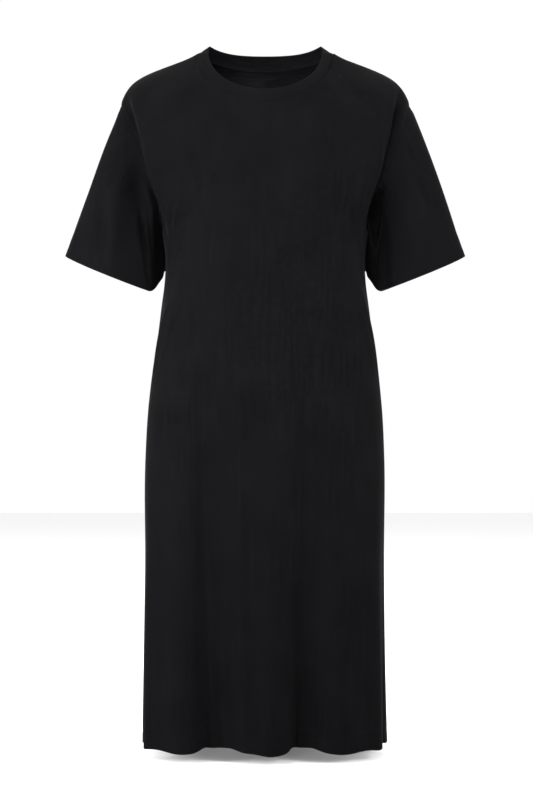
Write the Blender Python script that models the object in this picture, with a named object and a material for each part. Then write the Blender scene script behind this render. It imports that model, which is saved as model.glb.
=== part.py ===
"""A crew-neck, short-sleeved, midi-length dress in black cotton jersey.

The dress stands in its hollow worn form.  X runs across it, the front faces -Y and Z is up.
The origin lies midway between the two high shoulder points, where the wearer's shoulders
carry it.  Five cut pieces are modelled, each a cloth wall 2 mm thick: the front panel, the
back panel, two sleeves and the neck band.

The outer face of every piece is a formula.  A panel is a stack of sections, each a
superellipse whose width, depth and boxiness come from the LEVELS table, and above the chest
it runs over the shoulder to the seam and the neckline.  A sleeve runs from the armhole seam
to its hem ring.  The neck band runs from the neck seam to its folded edge.  Folds are soft
troughs and ridges added along the surface's normal.
"""

import bpy
import numpy as np

# ---------------------------------------------------------------------------------------
# Driving dimensions, in metres
# ---------------------------------------------------------------------------------------
WALL = 0.0020            # cloth wall of the panels and sleeves
BAND_WALL = 0.0024       # the neck band is double cloth
SEAM_TRIM = 0.00017      # what each piece keeps back from a seam, so pieces lie 0.3 mm apart

HEM_HEIGHT = -1.089      # bottom hem below the high shoulder points
CHEST_HEIGHT = -0.150    # the last full section, from which the yoke runs to the shoulder
HEM_SWING = 0.005        # how far the hem lifts in its troughs and drops on its ridges
HEM_SWING_FULL = 0.015   # the depth of fold that swings the hem by all of that
HEM_SWING_RISE = 0.25    # the share of the way to the chest over which the swing fades out
SKIRT_SWAY = -0.0030     # how far the skirt hangs aside at the hem
WAIST_HEIGHT = -0.450    # below it the skirt sways, and above it the sections bow at the sides

# A row for each section: centre height, half width, depth in front of and behind the
# side seam, and the exponent of the superellipse (2 is an ellipse, more is boxier)
LEVEL_COLUMNS = ("height", "half_width", "front", "back", "boxiness")
LEVELS = (
    (-1.089, 0.1935, 0.090, 0.098, 2.5),     # hem
    (-0.950, 0.1910, 0.094, 0.099, 2.5),     # shin
    (-0.800, 0.1890, 0.098, 0.101, 2.5),     # knee
    (-0.640, 0.1883, 0.104, 0.109, 2.4),     # seat
    (-0.560, 0.1840, 0.107, 0.108, 2.4),     # hip
    (-0.484, 0.1755, 0.109, 0.102, 2.4),     # high hip
    (-0.400, 0.1655, 0.112, 0.096, 2.4),     # waist
    (-0.347, 0.1590, 0.116, 0.095, 2.4),     # under the bust
    (-0.305, 0.1580, 0.119, 0.097, 2.4),     # bust
    (-0.270, 0.1620, 0.121, 0.099, 2.4),     # underarm
    (-0.216, 0.1620, 0.122, 0.103, 2.5),     # full bust
    (-0.150, 0.1620, 0.113, 0.103, 2.5),     # chest
)

# The armhole seam: an upright egg from the underarm point to the shoulder point
UNDERARM = (0.162, -0.285)        # across and height
SHOULDER_POINT = (0.228, -0.080)  # across and height
UNDERARM_LEVEL = -0.270           # centre height of the section that ends at the underarm
ARMHOLE_FRONT = 0.060             # how far the seam comes forward of the shoulder
ARMHOLE_BACK = 0.064              # how far it goes behind it
CHEST_TURN = 0.65                 # share of the armhole that lies below the chest section
UNDERARM_RISE = (UNDERARM_LEVEL - HEM_HEIGHT) / (CHEST_HEIGHT - HEM_HEIGHT)

# The neck seam and the folded edge of the band, as rings around the neck
NECK_HALF_WIDTH = 0.108
NECK_FRONT = 0.098
NECK_BACK = 0.075
NECK_FRONT_DROP = 0.091
NECK_BACK_DROP = 0.0155
EDGE_HALF_WIDTH = 0.0895
EDGE_FRONT = 0.087
EDGE_BACK = 0.064
EDGE_FRONT_DROP = 0.0705
EDGE_SIDE_RISE = 0.0025
EDGE_PEAK_RISE = 0.0112
EDGE_BACK_RISE = 0.0080
EDGE_PEAK_PLACE = 0.45            # how far back from the shoulder the edge peaks
BAND_CROWN = 0.0016               # how far the band bows out between its seam and its edge
NECK_SHARE = 0.48                 # share of a panel's top edge that is neckline

SHOULDER_SLOPE = 0.417            # fall of the shoulder seam for each metre outwards
SHOULDER_ROUND = 10               # how late the seam rounds off into the shoulder point
SHOULDER_SAG = 0.025              # strength of the dip of the seam beside the neck
YOKE_BACKLEAN = 0.35              # backward lean of the panel where it meets the neckline
# slope of the panel where it reaches the shoulder seam, at the neck and at the shoulder point
YOKE_ARRIVAL = {"front": (0.90, 0.25), "back": (0.30, 0.20)}
YOKE_FULLNESS = 0.95              # how far the yoke bulges, against its chord

# The sleeve's hem ring: an ellipse about its centre, tilted as the sleeve hangs
CUFF_CENTRE = (0.2370, 0.002, -0.3510)
CUFF_LEAN = 0.397                 # fall of the hem for each metre towards the body
CUFF_HALF_WIDTH = 0.0850
CUFF_HALF_DEPTH = 0.0500
CUFF_LIFT = 0.040                 # how far the hem rises beside the body
CUFF_LIFT_FORE = (0.372, 0.485)   # the share of a turn over which it rises, in front
CUFF_LIFT_AFT = (0.60, 0.74)      # and over which it comes down again, behind
CUFF_FRONT_DROP = 0.0065          # how far its front edge hangs below the ring
CUFF_BACK_LIFT = 0.010            # how far its back edge is above the ring
CUFF_BACK_SHIFT = 0.018           # how far the lifted stretch lies towards the back
CUFF_BODY_SHIFT = 0.008           # how far it is drawn in towards the body
SLEEVE_CLEARANCE = 0.0040         # what the hanging sleeve keeps clear of the body's side
CLEARANCE_SOFTNESS = 0.004        # how softly it is held off
CLEARANCE_FROM = 0.35             # share of the sleeve's length below which it is held off fully

# Hanging folds: a row for each, in quarter turns around the body (0 centre front, 1 the
# seam at +X, 2 centre back, -1 the seam at -X), growing from its top height to the hem.
# A positive depth is a ridge, a negative one a trough.
HANGING_COLUMNS = ("around_top", "around_hem", "top", "depth", "width")
HANGING_FOLDS = (
    (-0.79, -0.79, -0.56, 0.005, 0.060),
    (-0.50, -0.52, -0.46, 0.008, 0.095),
    (-0.35, -0.307, -0.40, -0.018, 0.085),
    (-0.13, -0.10, -0.50, -0.003, 0.050),
    (0.08, 0.055, -0.46, 0.009, 0.105),
    (0.31, 0.265, -0.36, -0.018, 0.078),
    (0.47, 0.50, -0.46, 0.007, 0.090),
    (0.74, 0.74, -0.56, 0.005, 0.055),
    (0.89, 0.89, -0.68, -0.010, 0.060),
    (-0.91, -0.91, -0.70, -0.010, 0.060),
    (1.19, 1.16, -0.50, 0.007, 0.090),
    (1.44, 1.41, -0.44, -0.016, 0.090),
    (1.66, 1.64, -0.50, 0.009, 0.100),
    (1.86, 1.88, -0.42, -0.013, 0.080),
    (2.12, 2.10, -0.52, 0.008, 0.095),
    (2.36, 2.33, -0.46, -0.015, 0.085),
    (2.62, 2.66, -0.52, 0.008, 0.110),
    (2.84, 2.85, -0.60, -0.007, 0.060),
)

FOLD_GROWTH = 1.2                 # how a hanging fold grows downwards: 1 is evenly
FOLD_FADE = (1.0, 1.6)            # all folds fade out over this rise, above the chest

# Drag folds: a row for each, from one place to another, deepest half way
DRAG_COLUMNS = ("around_top", "top", "around_foot", "foot", "depth", "width")
DRAG_FOLDS = (
    (-0.60, -0.330, -0.90, -0.540, 0.0055, 0.055),
    (0.64, -0.330, 0.92, -0.550, 0.0050, 0.055),
    (-0.88, -0.300, -0.98, -0.500, -0.0065, 0.070),
    (0.90, -0.300, 0.99, -0.500, -0.0065, 0.070),
    (-0.48, -0.230, -0.86, -0.360, -0.0035, 0.050),
    (0.50, -0.215, 0.84, -0.400, -0.0035, 0.050),
    (1.15, -0.290, 1.45, -0.520, -0.0050, 0.070),
    (-1.16, -0.300, -1.50, -0.500, -0.0045, 0.070),
    (1.90, -0.340, 2.15, -0.520, -0.0040, 0.090),
)

# The valley that runs down beside each armhole, between the body and the sleeve
VALLEY_DEPTH = {"front": 0.0115, "back": 0.0060}
VALLEY_PLACE = 0.012              # distance from the armhole seam
VALLEY_WIDTH = 0.0080
VALLEY_BROW = 0.0028              # the soft ridge on the body's side of the valley
VALLEY_FOOT = (0.06, 0.34)        # share of the armhole over which it grows from the underarm
VALLEY_HEAD = (0.62, 0.97)        # share over which it fades towards the shoulder point
VALLEY_SAMPLES = 160

SLEEVE_HANG = (0.335, 0.0, -0.942)  # the way the sleeve's cloth hangs at its hem
CAP_REACH = 0.45                  # how strongly it leaves the seam over the cap
CAP_STRAIGHTENING = 0.88          # how far the cloth over the cap hangs straight outwards,
CAP_WIDTH = 0.17                  # and over what share of a turn to either side
UNDERARM_HANG = (-0.30, 0.10, -0.95)
UNDERARM_WIDTH = 0.12             # share of a turn over which the underarm's shape holds
UNDERARM_ROLL = 0.040             # how strongly the sleeve rises out of the underarm seam
UNDERARM_FALL = 0.070             # how strongly it comes down to its hem there

# Sleeve folds: share of a turn around the sleeve, from the shoulder over the front
SLEEVE_COLUMNS = ("turn_seam", "turn_hem", "depth", "width")
SLEEVE_FOLDS = (
    (0.40, 0.435, -0.0060, 0.035),
    (0.60, 0.575, -0.0050, 0.045),
    (0.22, 0.24, 0.0030, 0.070),
)

JERSEY_BLACK = (0.0100, 0.0100, 0.0112)
RIB_BLACK = (0.0092, 0.0092, 0.0102)
CLOTH_ROUGHNESS = 0.86

# Grid sizes of the pieces.  Panels share their columns and rows, a sleeve has a column for
# each row of both panels along its armhole, and the band one for each neckline column.
PANEL_COLUMNS = 40
ROWS_TO_UNDERARM = 20
ROWS_TO_CHEST = 5
ROWS_TO_TOP = 8
SLEEVE_ROWS = 10
BAND_ROWS = 3


# ---------------------------------------------------------------------------------------
# Small helpers
# ---------------------------------------------------------------------------------------
def ease(value, start, end):
    """0 before start, 1 after end, and a smooth step between them."""
    share = np.clip((value - start) / (end - start), 0.0, 1.0)
    return share * share * (3.0 - 2.0 * share)


def bell(value):
    """A soft bump, 1 at 0 and fading out by 2."""
    return np.exp(-value * value)


def unit(vectors):
    """The same directions, one metre long."""
    return vectors / np.linalg.norm(vectors, axis=-1, keepdims=True)


def column(table, columns, name):
    """One named column of a table, as an array."""
    return np.array([row[columns.index(name)] for row in table])


def level(name, height):
    """A column of LEVELS at any height, on a cubic whose slope is the mean of its
    neighbours' slopes, so that it runs smoothly through each row."""
    known = column(LEVELS, LEVEL_COLUMNS, "height")
    values = column(LEVELS, LEVEL_COLUMNS, name)
    slopes = np.gradient(values, known)
    height = np.clip(height, known[0], known[-1])
    low = np.clip(np.searchsorted(known, height, side="right") - 1, 0, len(known) - 2)
    span = known[low + 1] - known[low]
    share = (height - known[low]) / span
    return hermite(values[low], span * slopes[low],
                   values[low + 1], span * slopes[low + 1], share)


def hermite(start, leave, end, arrive, share):
    """The cubic from start to end that leaves and arrives with the given tangents."""
    square = share * share
    cube = square * share
    return (start * (2 * cube - 3 * square + 1) + leave * (cube - 2 * square + share)
            + end * (3 * square - 2 * cube) + arrive * (cube - square))


# ---------------------------------------------------------------------------------------
# The body
# ---------------------------------------------------------------------------------------
def armhole_turn(height):
    """How far up the armhole a section ends, from 0 at the underarm to pi."""
    share = (height - UNDERARM_LEVEL) / (CHEST_HEIGHT - UNDERARM_LEVEL)
    return np.pi * CHEST_TURN * np.clip(share, 0.0, 1.0)


def section(side, across, height):
    """A panel's outer face up to the chest, with across from -1 to 1 between its seams.

    Below the underarm a section is half a superellipse.  Above it, the section stops
    where the armhole cuts it, and its full half width is worked out from that point.
    """
    turn = armhole_turn(height)
    middle = 0.5 * (UNDERARM[1] + SHOULDER_POINT[1])
    reach = 0.5 * (SHOULDER_POINT[1] - UNDERARM[1])
    drop = (UNDERARM[1] - UNDERARM_LEVEL) * ease(height, WAIST_HEIGHT, UNDERARM_LEVEL)
    seam_height = np.where(height > UNDERARM_LEVEL, middle - reach * np.cos(turn),
                           height + drop)
    rise = np.clip((seam_height - UNDERARM[1]) / (2.0 * reach), 0.0, 1.0)
    seam_across = UNDERARM[0] + (SHOULDER_POINT[0] - UNDERARM[0]) * rise
    seam_across = np.where(height > UNDERARM_LEVEL, seam_across, level("half_width", height))
    forward = ARMHOLE_FRONT if side == "front" else ARMHOLE_BACK
    seam_depth = forward * np.sin(turn)

    depth = level(side, height)
    power = level("boxiness", height)
    end_angle = np.arccos(np.clip(seam_depth / depth, 0.0, 1.0) ** (power / 2.0))
    half_width = seam_across / np.sin(end_angle) ** (2.0 / power)
    # the angle runs so that equal steps of across are nearly equal steps of cloth
    balance = (half_width / depth) ** (power / 4.0)
    end_share = np.clip(end_angle / (np.pi / 2.0), 0.0, 1.0 - 1e-12)
    ratio = (balance * end_share / (1.0 - end_share)) ** (2.0 / power)
    place = np.clip(np.abs(across) * ratio / (1.0 + ratio), 0.0, 1.0)
    rising = place ** (power / 2.0)
    falling = (1.0 - place) ** (power / 2.0)
    angle = (np.pi / 2.0) * rising / (rising + balance * falling)

    sway = SKIRT_SWAY * ease(-height, -WAIST_HEIGHT, -HEM_HEIGHT)
    x = np.sign(across) * half_width * np.sin(angle) ** (2.0 / power) + sway
    y = depth * np.clip(np.cos(angle), 0.0, 1.0) ** (2.0 / power)
    z = height + (seam_height - height) * across * across
    if side == "front":
        y = -y
    return np.stack(np.broadcast_arrays(x, y, z), axis=-1), place * np.sign(across)


def neck_ring(turn, ring):
    """The neck seam or the band's edge.  turn is 0 at centre front, 1 at the shoulder
    seam at +X and 2 at centre back.  Both rings are half ellipses in front of the
    shoulder and behind it, and drop with their depth in front."""
    angle = turn * np.pi / 2.0
    fore = np.clip(np.cos(angle), 0.0, 1.0)
    aft = np.clip(-np.cos(angle), 0.0, 1.0)
    if ring == "seam":
        x = NECK_HALF_WIDTH * np.sin(angle)
        y = NECK_BACK * aft - NECK_FRONT * fore
        z = -NECK_FRONT_DROP * fore - NECK_BACK_DROP * aft * aft
    else:
        x = EDGE_HALF_WIDTH * np.sin(angle)
        y = EDGE_BACK * aft - EDGE_FRONT * fore
        rise = (EDGE_PEAK_RISE - EDGE_SIDE_RISE) * ease(aft, 0.0, EDGE_PEAK_PLACE)
        settle = (EDGE_PEAK_RISE - EDGE_BACK_RISE) * ease(aft, EDGE_PEAK_PLACE, 1.0)
        z = EDGE_SIDE_RISE - (EDGE_FRONT_DROP + EDGE_SIDE_RISE) * fore + rise - settle
    return np.stack(np.broadcast_arrays(x, y, z), axis=-1)


def top_edge(side, across):
    """A panel's top edge: the neckline near the centre, then the shoulder seam."""
    share = np.abs(across)
    turn = np.clip(share / NECK_SHARE, 0.0, 1.0)
    neck = neck_ring(turn if side == "front" else 2.0 - turn, "seam")
    along = np.clip((share - NECK_SHARE) / (1.0 - NECK_SHARE), 0.0, 1.0)
    length = SHOULDER_POINT[0] - NECK_HALF_WIDTH
    fall = -SHOULDER_POINT[1] - SHOULDER_SLOPE * length
    sag = SHOULDER_SAG * along * (1.0 - along) ** 5
    x = NECK_HALF_WIDTH + length * along
    z = -SHOULDER_SLOPE * length * along - fall * along ** SHOULDER_ROUND - sag
    shoulder = np.stack(np.broadcast_arrays(x, 0.0 * x, z), axis=-1)
    edge = np.where((share < NECK_SHARE)[..., None], neck, shoulder)
    edge[..., 0] *= np.where(across < 0, -1.0, 1.0)
    return edge


def yoke(side, across, share):
    """The panel from the chest section (share 0) over to its top edge (share 1).

    Each column is a cubic that leaves the chest section the way the panel reaches it.
    It arrives leaning back at the centre of the neck, and flatter at the shoulder seam.
    """
    step = 0.004
    start, _ = section(side, across, np.full_like(across, CHEST_HEIGHT))
    before, _ = section(side, across, np.full_like(across, CHEST_HEIGHT - step))
    end = top_edge(side, across)
    chord = np.linalg.norm(end - start, axis=-1, keepdims=True)
    turn = np.clip(np.abs(across) / NECK_SHARE, 0.0, 1.0) * np.pi / 2.0
    along = np.clip((np.abs(across) - NECK_SHARE) / (1.0 - NECK_SHARE), 0.0, 1.0)
    inwards = 1.0 if side == "front" else -1.0
    at_neck, at_point = YOKE_ARRIVAL[side]
    slope = at_neck + (at_point - at_neck) * along
    back = YOKE_BACKLEAN * np.cos(turn) ** 2 + np.sin(turn) ** 2
    up = np.cos(turn) ** 2 + slope * np.sin(turn) ** 2
    leave = unit(start - before) * chord * YOKE_FULLNESS
    arrive = unit(np.stack([0.0 * turn, inwards * back, up], axis=-1)) * chord * YOKE_FULLNESS
    return hermite(start, leave, end, arrive, share[..., None])


def panel_base(side, across, rise):
    """A panel's outer face without its folds.  rise is 0 at the hem, 1 at the chest
    section and 2 at the top edge."""
    across, rise = np.broadcast_arrays(np.asarray(across, float), np.asarray(rise, float))
    height = HEM_HEIGHT + (CHEST_HEIGHT - HEM_HEIGHT) * np.clip(rise, 0.0, 1.0)
    lower, place = section(side, across, height)
    upper = yoke(side, across, np.clip(rise - 1.0, 0.0, 1.0))
    return np.where((rise > 1.0)[..., None], upper, lower), place, height


def fold_depth(side, place, height):
    """How far the folds lift the body's face, from where a point is around the body."""
    around = place if side == "front" else 2.0 - place
    total = np.zeros_like(place)
    for top_at, hem_at, top, depth, width in HANGING_FOLDS:
        grown = np.clip((top - height) / (top - HEM_HEIGHT), 0.0, 1.0)
        centre = top_at + (hem_at - top_at) * grown
        apart = np.mod(around - centre + 2.0, 4.0) - 2.0
        total = total + depth * grown ** FOLD_GROWTH * bell(apart / width)
    for top_at, top, foot_at, foot, depth, width in DRAG_FOLDS:
        share = (top - height) / (top - foot)
        inside = np.clip(share, 0.0, 1.0)
        centre = top_at + (foot_at - top_at) * share
        apart = np.mod(around - centre + 2.0, 4.0) - 2.0
        total = total + depth * np.sin(np.pi * inside) ** 2 * bell(apart / width)
    return total


def valley_lift(side, base, rise):
    """The trough that follows each armhole on the body's side, and the soft brow beyond
    it, by each point's distance from the seam.  It fades at the shoulder point and again
    towards the underarm."""
    lift = np.zeros(base.shape[:2])
    armhole = rise > UNDERARM_RISE - 1e-6
    for edge in (0, -1):
        corners = base[armhole, edge]
        fine = np.linspace(0.0, len(corners) - 1.0, VALLEY_SAMPLES)
        seam = np.stack([np.interp(fine, np.arange(len(corners)), corners[:, axis])
                         for axis in range(3)], axis=-1)
        length = np.concatenate([[0.0], np.cumsum(np.linalg.norm(np.diff(seam, axis=0), axis=1))])
        upwards = length / length[-1]
        strength = ease(upwards, *VALLEY_FOOT) * (1.0 - ease(upwards, *VALLEY_HEAD))
        near = base[:, base.shape[1] // 2:] if edge else base[:, :base.shape[1] // 2 + 1]
        apart = np.linalg.norm(near[:, :, None] - seam, axis=-1)
        closest = apart.argmin(axis=-1)
        distance = apart.min(axis=-1)
        trough = bell((distance - VALLEY_PLACE) / VALLEY_WIDTH)
        brow = bell((distance - VALLEY_PLACE - 2.2 * VALLEY_WIDTH) / (1.3 * VALLEY_WIDTH))
        change = strength[closest] * (VALLEY_BROW * brow - VALLEY_DEPTH[side] * trough)
        half = lift[:, base.shape[1] // 2:] if edge else lift[:, :base.shape[1] // 2 + 1]
        half += change
    return lift


def grid_normals(points, closed):
    """The outward normals of a grid [row][around]: at each point the sum of its quads'
    normals, by area.  Around is counterclockwise seen from above and rows run upwards."""
    if closed:
        points = np.concatenate([points[:, -1:], points, points[:, :1]], axis=1)
    quads = np.cross(points[1:, 1:] - points[:-1, :-1], points[1:, :-1] - points[:-1, 1:])
    total = np.zeros_like(points)
    for rows in (slice(None, -1), slice(1, None)):
        for columns in (slice(None, -1), slice(1, None)):
            total[rows, columns] += quads
    return unit(total[:, 1:-1] if closed else total)


def share_normals(front, back, across, rise):
    """Gives both panels the same normals where they meet: at the side seams below the
    underarm, and along the shoulder seams."""
    below = rise < UNDERARM_RISE + 1e-6
    outer = np.abs(across) > NECK_SHARE - 1e-6
    for edge in (0, -1):
        mean = unit(front[below, edge] + back[below, edge])
        front[below, edge] = mean
        back[below, edge] = mean
    mean = unit(front[-1, outer] + back[-1, outer])
    front[-1, outer] = mean
    back[-1, outer] = mean


def body_faces(across, rise):
    """Both panels' outer faces with their folds, and the normals of those faces."""
    bases, normals, lifts = {}, {}, {}
    for side, facing in (("front", 1.0), ("back", -1.0)):
        base, place, height = panel_base(side, across[None, :], rise[:, None])
        bases[side] = base
        normals[side] = facing * grid_normals(base, False)
        folds = fold_depth(side, place, height) * (1.0 - ease(rise[:, None], *FOLD_FADE))
        lifts[side] = folds + valley_lift(side, base, rise)
    share_normals(normals["front"], normals["back"], across, rise)
    faces, walls = {}, {}
    for side, facing in (("front", 1.0), ("back", -1.0)):
        face = bases[side] + normals[side] * lifts[side][..., None]
        swing = np.clip(lifts[side] / HEM_SWING_FULL, -1.0, 1.0)
        swing = swing * (1.0 - ease(rise[:, None], 0.0, HEM_SWING_RISE))
        face[..., 2] -= HEM_SWING * swing
        faces[side] = face
        walls[side] = facing * grid_normals(face, False)
    share_normals(walls["front"], walls["back"], across, rise)
    return faces, walls


# ---------------------------------------------------------------------------------------
# The sleeve and the neck band
# ---------------------------------------------------------------------------------------
def armhole_seam(faces, walls, rise):
    """The armhole at +X as a ring: its points, the panels' normals there, and the share of
    a turn of each point, by length: 0 at the shoulder point, over the front to 0.5 at the
    underarm and over the back to 1."""
    armhole = rise > UNDERARM_RISE - 1e-6
    halves = []
    for side in ("front", "back"):
        points = faces[side][armhole, -1][::-1]
        steps = np.linalg.norm(np.diff(points, axis=0), axis=1)
        length = np.concatenate([[0.0], np.cumsum(steps)])
        halves.append((points, walls[side][armhole, -1][::-1], 0.5 * length / length[-1]))
    (fore, fore_normal, fore_turn), (aft, aft_normal, aft_turn) = halves
    points = np.concatenate([fore, aft[-2:0:-1]])
    normals = np.concatenate([fore_normal, aft_normal[-2:0:-1]])
    turn = np.concatenate([fore_turn, 1.0 - aft_turn[-2:0:-1]])
    return points, normals, turn


def cuff_ring(turn):
    """The sleeve's hem at +X: a leaning ellipse that rises beside the body."""
    angle = 2.0 * np.pi * turn
    beside = ease(turn, *CUFF_LIFT_FORE) * (1.0 - ease(turn, *CUFF_LIFT_AFT))
    outwards = CUFF_HALF_WIDTH * np.cos(angle) / np.hypot(1.0, CUFF_LEAN)
    x = CUFF_CENTRE[0] + outwards - CUFF_BODY_SHIFT * beside
    y = CUFF_CENTRE[1] - CUFF_HALF_DEPTH * np.sin(angle) + CUFF_BACK_SHIFT * beside
    lift = np.where(np.sin(angle) > 0.0, -CUFF_FRONT_DROP, -CUFF_BACK_LIFT) * np.sin(angle)
    z = CUFF_CENTRE[2] + CUFF_LEAN * outwards + CUFF_LIFT * beside + lift
    return np.stack([x, y, z], axis=-1)


def clear_of_body(face, share):
    """Holds a sleeve's points clear of the body's side: each is moved outwards, softly,
    to the body's width at its height and depth.  share fades this in."""
    height = face[..., 2]
    depth = np.where(face[..., 1] < 0.0, level("front", height), level("back", height))
    power = level("boxiness", height)
    aside = np.clip(np.abs(face[..., 1]) / depth, 0.0, 1.0)
    body = level("half_width", height) * (1.0 - aside ** power) ** (1.0 / power)
    over = body + SLEEVE_CLEARANCE - face[..., 0]
    face[..., 0] += share * 0.5 * (over + np.hypot(over, CLEARANCE_SOFTNESS))
    return face


def sleeve_face(seam, normals, turn, down):
    """The sleeve's outer face, [down][around]: for each place around, a cubic from the
    armhole seam to the hem ring.  It leaves the seam in the panel's own plane, square to
    the seam, so at the underarm it rises, rolls over and comes down as a soft inverted U.
    """
    along_seam = unit(np.roll(seam, -1, axis=0) - np.roll(seam, 1, axis=0))
    away = unit(np.cross(normals, along_seam))
    end = cuff_ring(turn)
    cap = bell(np.minimum(turn, 1.0 - turn) / CAP_WIDTH)
    away[:, 1] *= 1.0 - CAP_STRAIGHTENING * cap
    away = unit(away)
    under = bell((turn - 0.5) / UNDERARM_WIDTH)[:, None]
    chord = np.linalg.norm(end - seam, axis=-1, keepdims=True)
    strength = (1.0 - (1.0 - CAP_REACH) * cap)[:, None]
    leave = away * (chord * strength * (1.0 - under) + UNDERARM_ROLL * under)
    hang = unit(np.array(SLEEVE_HANG) * (1.0 - under) + np.array(UNDERARM_HANG) * under)
    arrive = hang * (chord * (1.0 - under) + UNDERARM_FALL * under)
    down = down[:, None, None]
    face = hermite(seam[None], leave[None], end[None], arrive[None], down)
    lift = np.zeros(face.shape[:2])
    for seam_at, hem_at, depth, width in SLEEVE_FOLDS:
        centre = seam_at + (hem_at - seam_at) * down[..., 0]
        lift = lift + depth * bell((turn[None] - centre) / width) * ease(down[..., 0], 0.0, 0.5)
    face = face + grid_normals(face, True) * lift[..., None]
    return clear_of_body(face, ease(down[..., 0], 0.0, CLEARANCE_FROM))


def neck_places(across):
    """The neckline's columns as a ring from the shoulder seam at -X over the front: for
    each its quarter turns from centre front (signed), and its panel and column."""
    columns = np.flatnonzero(np.abs(across) < NECK_SHARE + 1e-6)
    front = [("front", k, across[k] / NECK_SHARE) for k in columns]
    back = [("back", k, np.sign(across[k] + 1e-12) * (2.0 - abs(across[k]) / NECK_SHARE))
            for k in columns[-2:0:-1]]
    return front + back


def band_face(quarter, rise):
    """The neck band's outer face [up][around], from the neck seam (rise 0) to its folded
    edge (rise 1), a little crowned between them."""
    mirror = np.where(quarter < 0.0, -1.0, 1.0)
    seam = neck_ring(np.abs(quarter), "seam")
    edge = neck_ring(np.abs(quarter), "edge")
    rise = rise[:, None, None]
    outwards = unit(seam * np.array([1.0, 1.0, 0.0])) + np.array([0.0, 0.0, 0.6])
    point = seam + (edge - seam) * rise + outwards * BAND_CROWN * 4.0 * rise * (1.0 - rise)
    return point * np.stack([mirror, np.ones_like(mirror), np.ones_like(mirror)], axis=-1)


# ---------------------------------------------------------------------------------------
# Meshes
# ---------------------------------------------------------------------------------------
def retreat(skin, normals, closed, edges):
    """Moves the named edges of a grid back by SEAM_TRIM, in its own surface and square to
    the edge (mitred where the edge bends), so that it stays clear of its neighbour."""
    whole = slice(None)
    moved = skin.copy()
    for edge in edges:
        take, inwards = {"bottom": ((0, whole), 1.0), "top": ((-1, whole), -1.0),
                         "left": ((whole, 0), -1.0), "right": ((whole, -1), 1.0)}[edge]
        line = skin[take]
        steps = np.diff(line, axis=0)
        first, last = (line[:1] - line[-1:],) * 2 if closed else (steps[:1], steps[-1:])
        before = unit(np.cross(normals[take], np.concatenate([first, steps])))
        after = unit(np.cross(normals[take], np.concatenate([steps, last])))
        mitre = (before + after) / (1.0 + np.sum(before * after, axis=-1, keepdims=True))
        moved[take] += mitre * inwards * SEAM_TRIM
    return moved


def cloth(name, outer, normals, wall, closed, seams, material):
    """One cloth piece: its outer face and an inner face one wall behind it, as two grids
    [row][around] joined around their edges."""
    skins = [retreat(skin, normals, closed, seams) for skin in (outer, outer - normals * wall)]
    rows, around = outer.shape[:2]
    points = np.concatenate([skin.reshape(-1, 3) for skin in skins])
    index = np.arange(rows * around).reshape(rows, around)
    if closed:
        index = np.concatenate([index, index[:, :1]], axis=1)
    face = np.stack([index[:-1, :-1], index[:-1, 1:], index[1:, 1:], index[1:, :-1]],
                    axis=-1).reshape(-1, 4)
    inner = rows * around
    loops = [index[0], index[-1][::-1]]
    if not closed:
        loops = [np.concatenate([index[0], index[1:, -1], index[-1, -2::-1], index[-2::-1, 0]])]
    rims = [np.stack([loop[1:], loop[:-1], loop[:-1] + inner, loop[1:] + inner], axis=-1)
            for loop in loops]
    rim = np.concatenate(rims)
    # a rim is split along its shorter diagonal, so two rims that face each other match
    first, second = (np.linalg.norm(points[rim[:, k]] - points[rim[:, k + 2]], axis=-1)
                     for k in (0, 1))
    rim = np.where((first > second)[:, None], np.roll(rim, -1, axis=1), rim)
    faces = np.concatenate([face, face[:, [0, 3, 2, 1]] + inner, rim])
    mesh = bpy.data.meshes.new(name)
    mesh.from_pydata(points.tolist(), [], faces.tolist())
    mesh.materials.append(material)
    mesh.shade_smooth()
    mesh.set_sharp_from_angle(angle=np.radians(50.0))
    return bpy.data.objects.new(name, mesh)


def jersey(name, colour):
    """A matt cotton jersey."""
    material = bpy.data.materials.new(name)
    material.use_nodes = True
    surface = material.node_tree.nodes["Principled BSDF"]
    surface.inputs["Base Color"].default_value = (*colour, 1.0)
    surface.inputs["Roughness"].default_value = CLOTH_ROUGHNESS
    surface.inputs["Metallic"].default_value = 0.0
    return material


def body_grid():
    """The places of the panels' columns and rows.  Columns lie closer near the seams, one
    is at each end of the neckline, and one row is at the underarm."""
    even = np.linspace(-1.0, 1.0, PANEL_COLUMNS + 1)
    across = 0.55 * even + 0.45 * np.sin(even * np.pi / 2.0)
    for corner in (-NECK_SHARE, NECK_SHARE):
        across[np.argmin(np.abs(across - corner))] = corner
    rise = np.concatenate([
        np.linspace(0.0, UNDERARM_RISE, ROWS_TO_UNDERARM + 1),
        np.linspace(UNDERARM_RISE, 1.0, ROWS_TO_CHEST + 1)[1:],
        np.linspace(1.0, 2.0, ROWS_TO_TOP + 1)[1:],
    ])
    return across, rise


def panel(side, faces, walls, material):
    """The front or back panel.  Its columns run counterclockwise seen from above."""
    turned = slice(None) if side == "front" else slice(None, None, -1)
    return cloth(side + "_panel", faces[side][:, turned], walls[side][:, turned], WALL, False,
                 ("left", "right", "top"), material)


def sleeve(name, mirrored, armhole, material):
    """One sleeve, from just off the armhole seam to its hem."""
    seam, normals, turn = armhole
    down = np.linspace(0.0, 1.0, SLEEVE_ROWS + 1)
    face = sleeve_face(seam, normals, turn, down)
    wall_normals = grid_normals(face, True)
    wall_normals[0] = normals
    # rows run upwards for a grid that turns counterclockwise seen from above
    face = face[::-1]
    wall_normals = wall_normals[::-1]
    if mirrored:
        face = face[:, ::-1] * np.array([-1.0, 1.0, 1.0])
        wall_normals = wall_normals[:, ::-1] * np.array([-1.0, 1.0, 1.0])
    return cloth(name, face[:, ::-1], wall_normals[:, ::-1], WALL, True,
                 ("top",), material)


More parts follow.
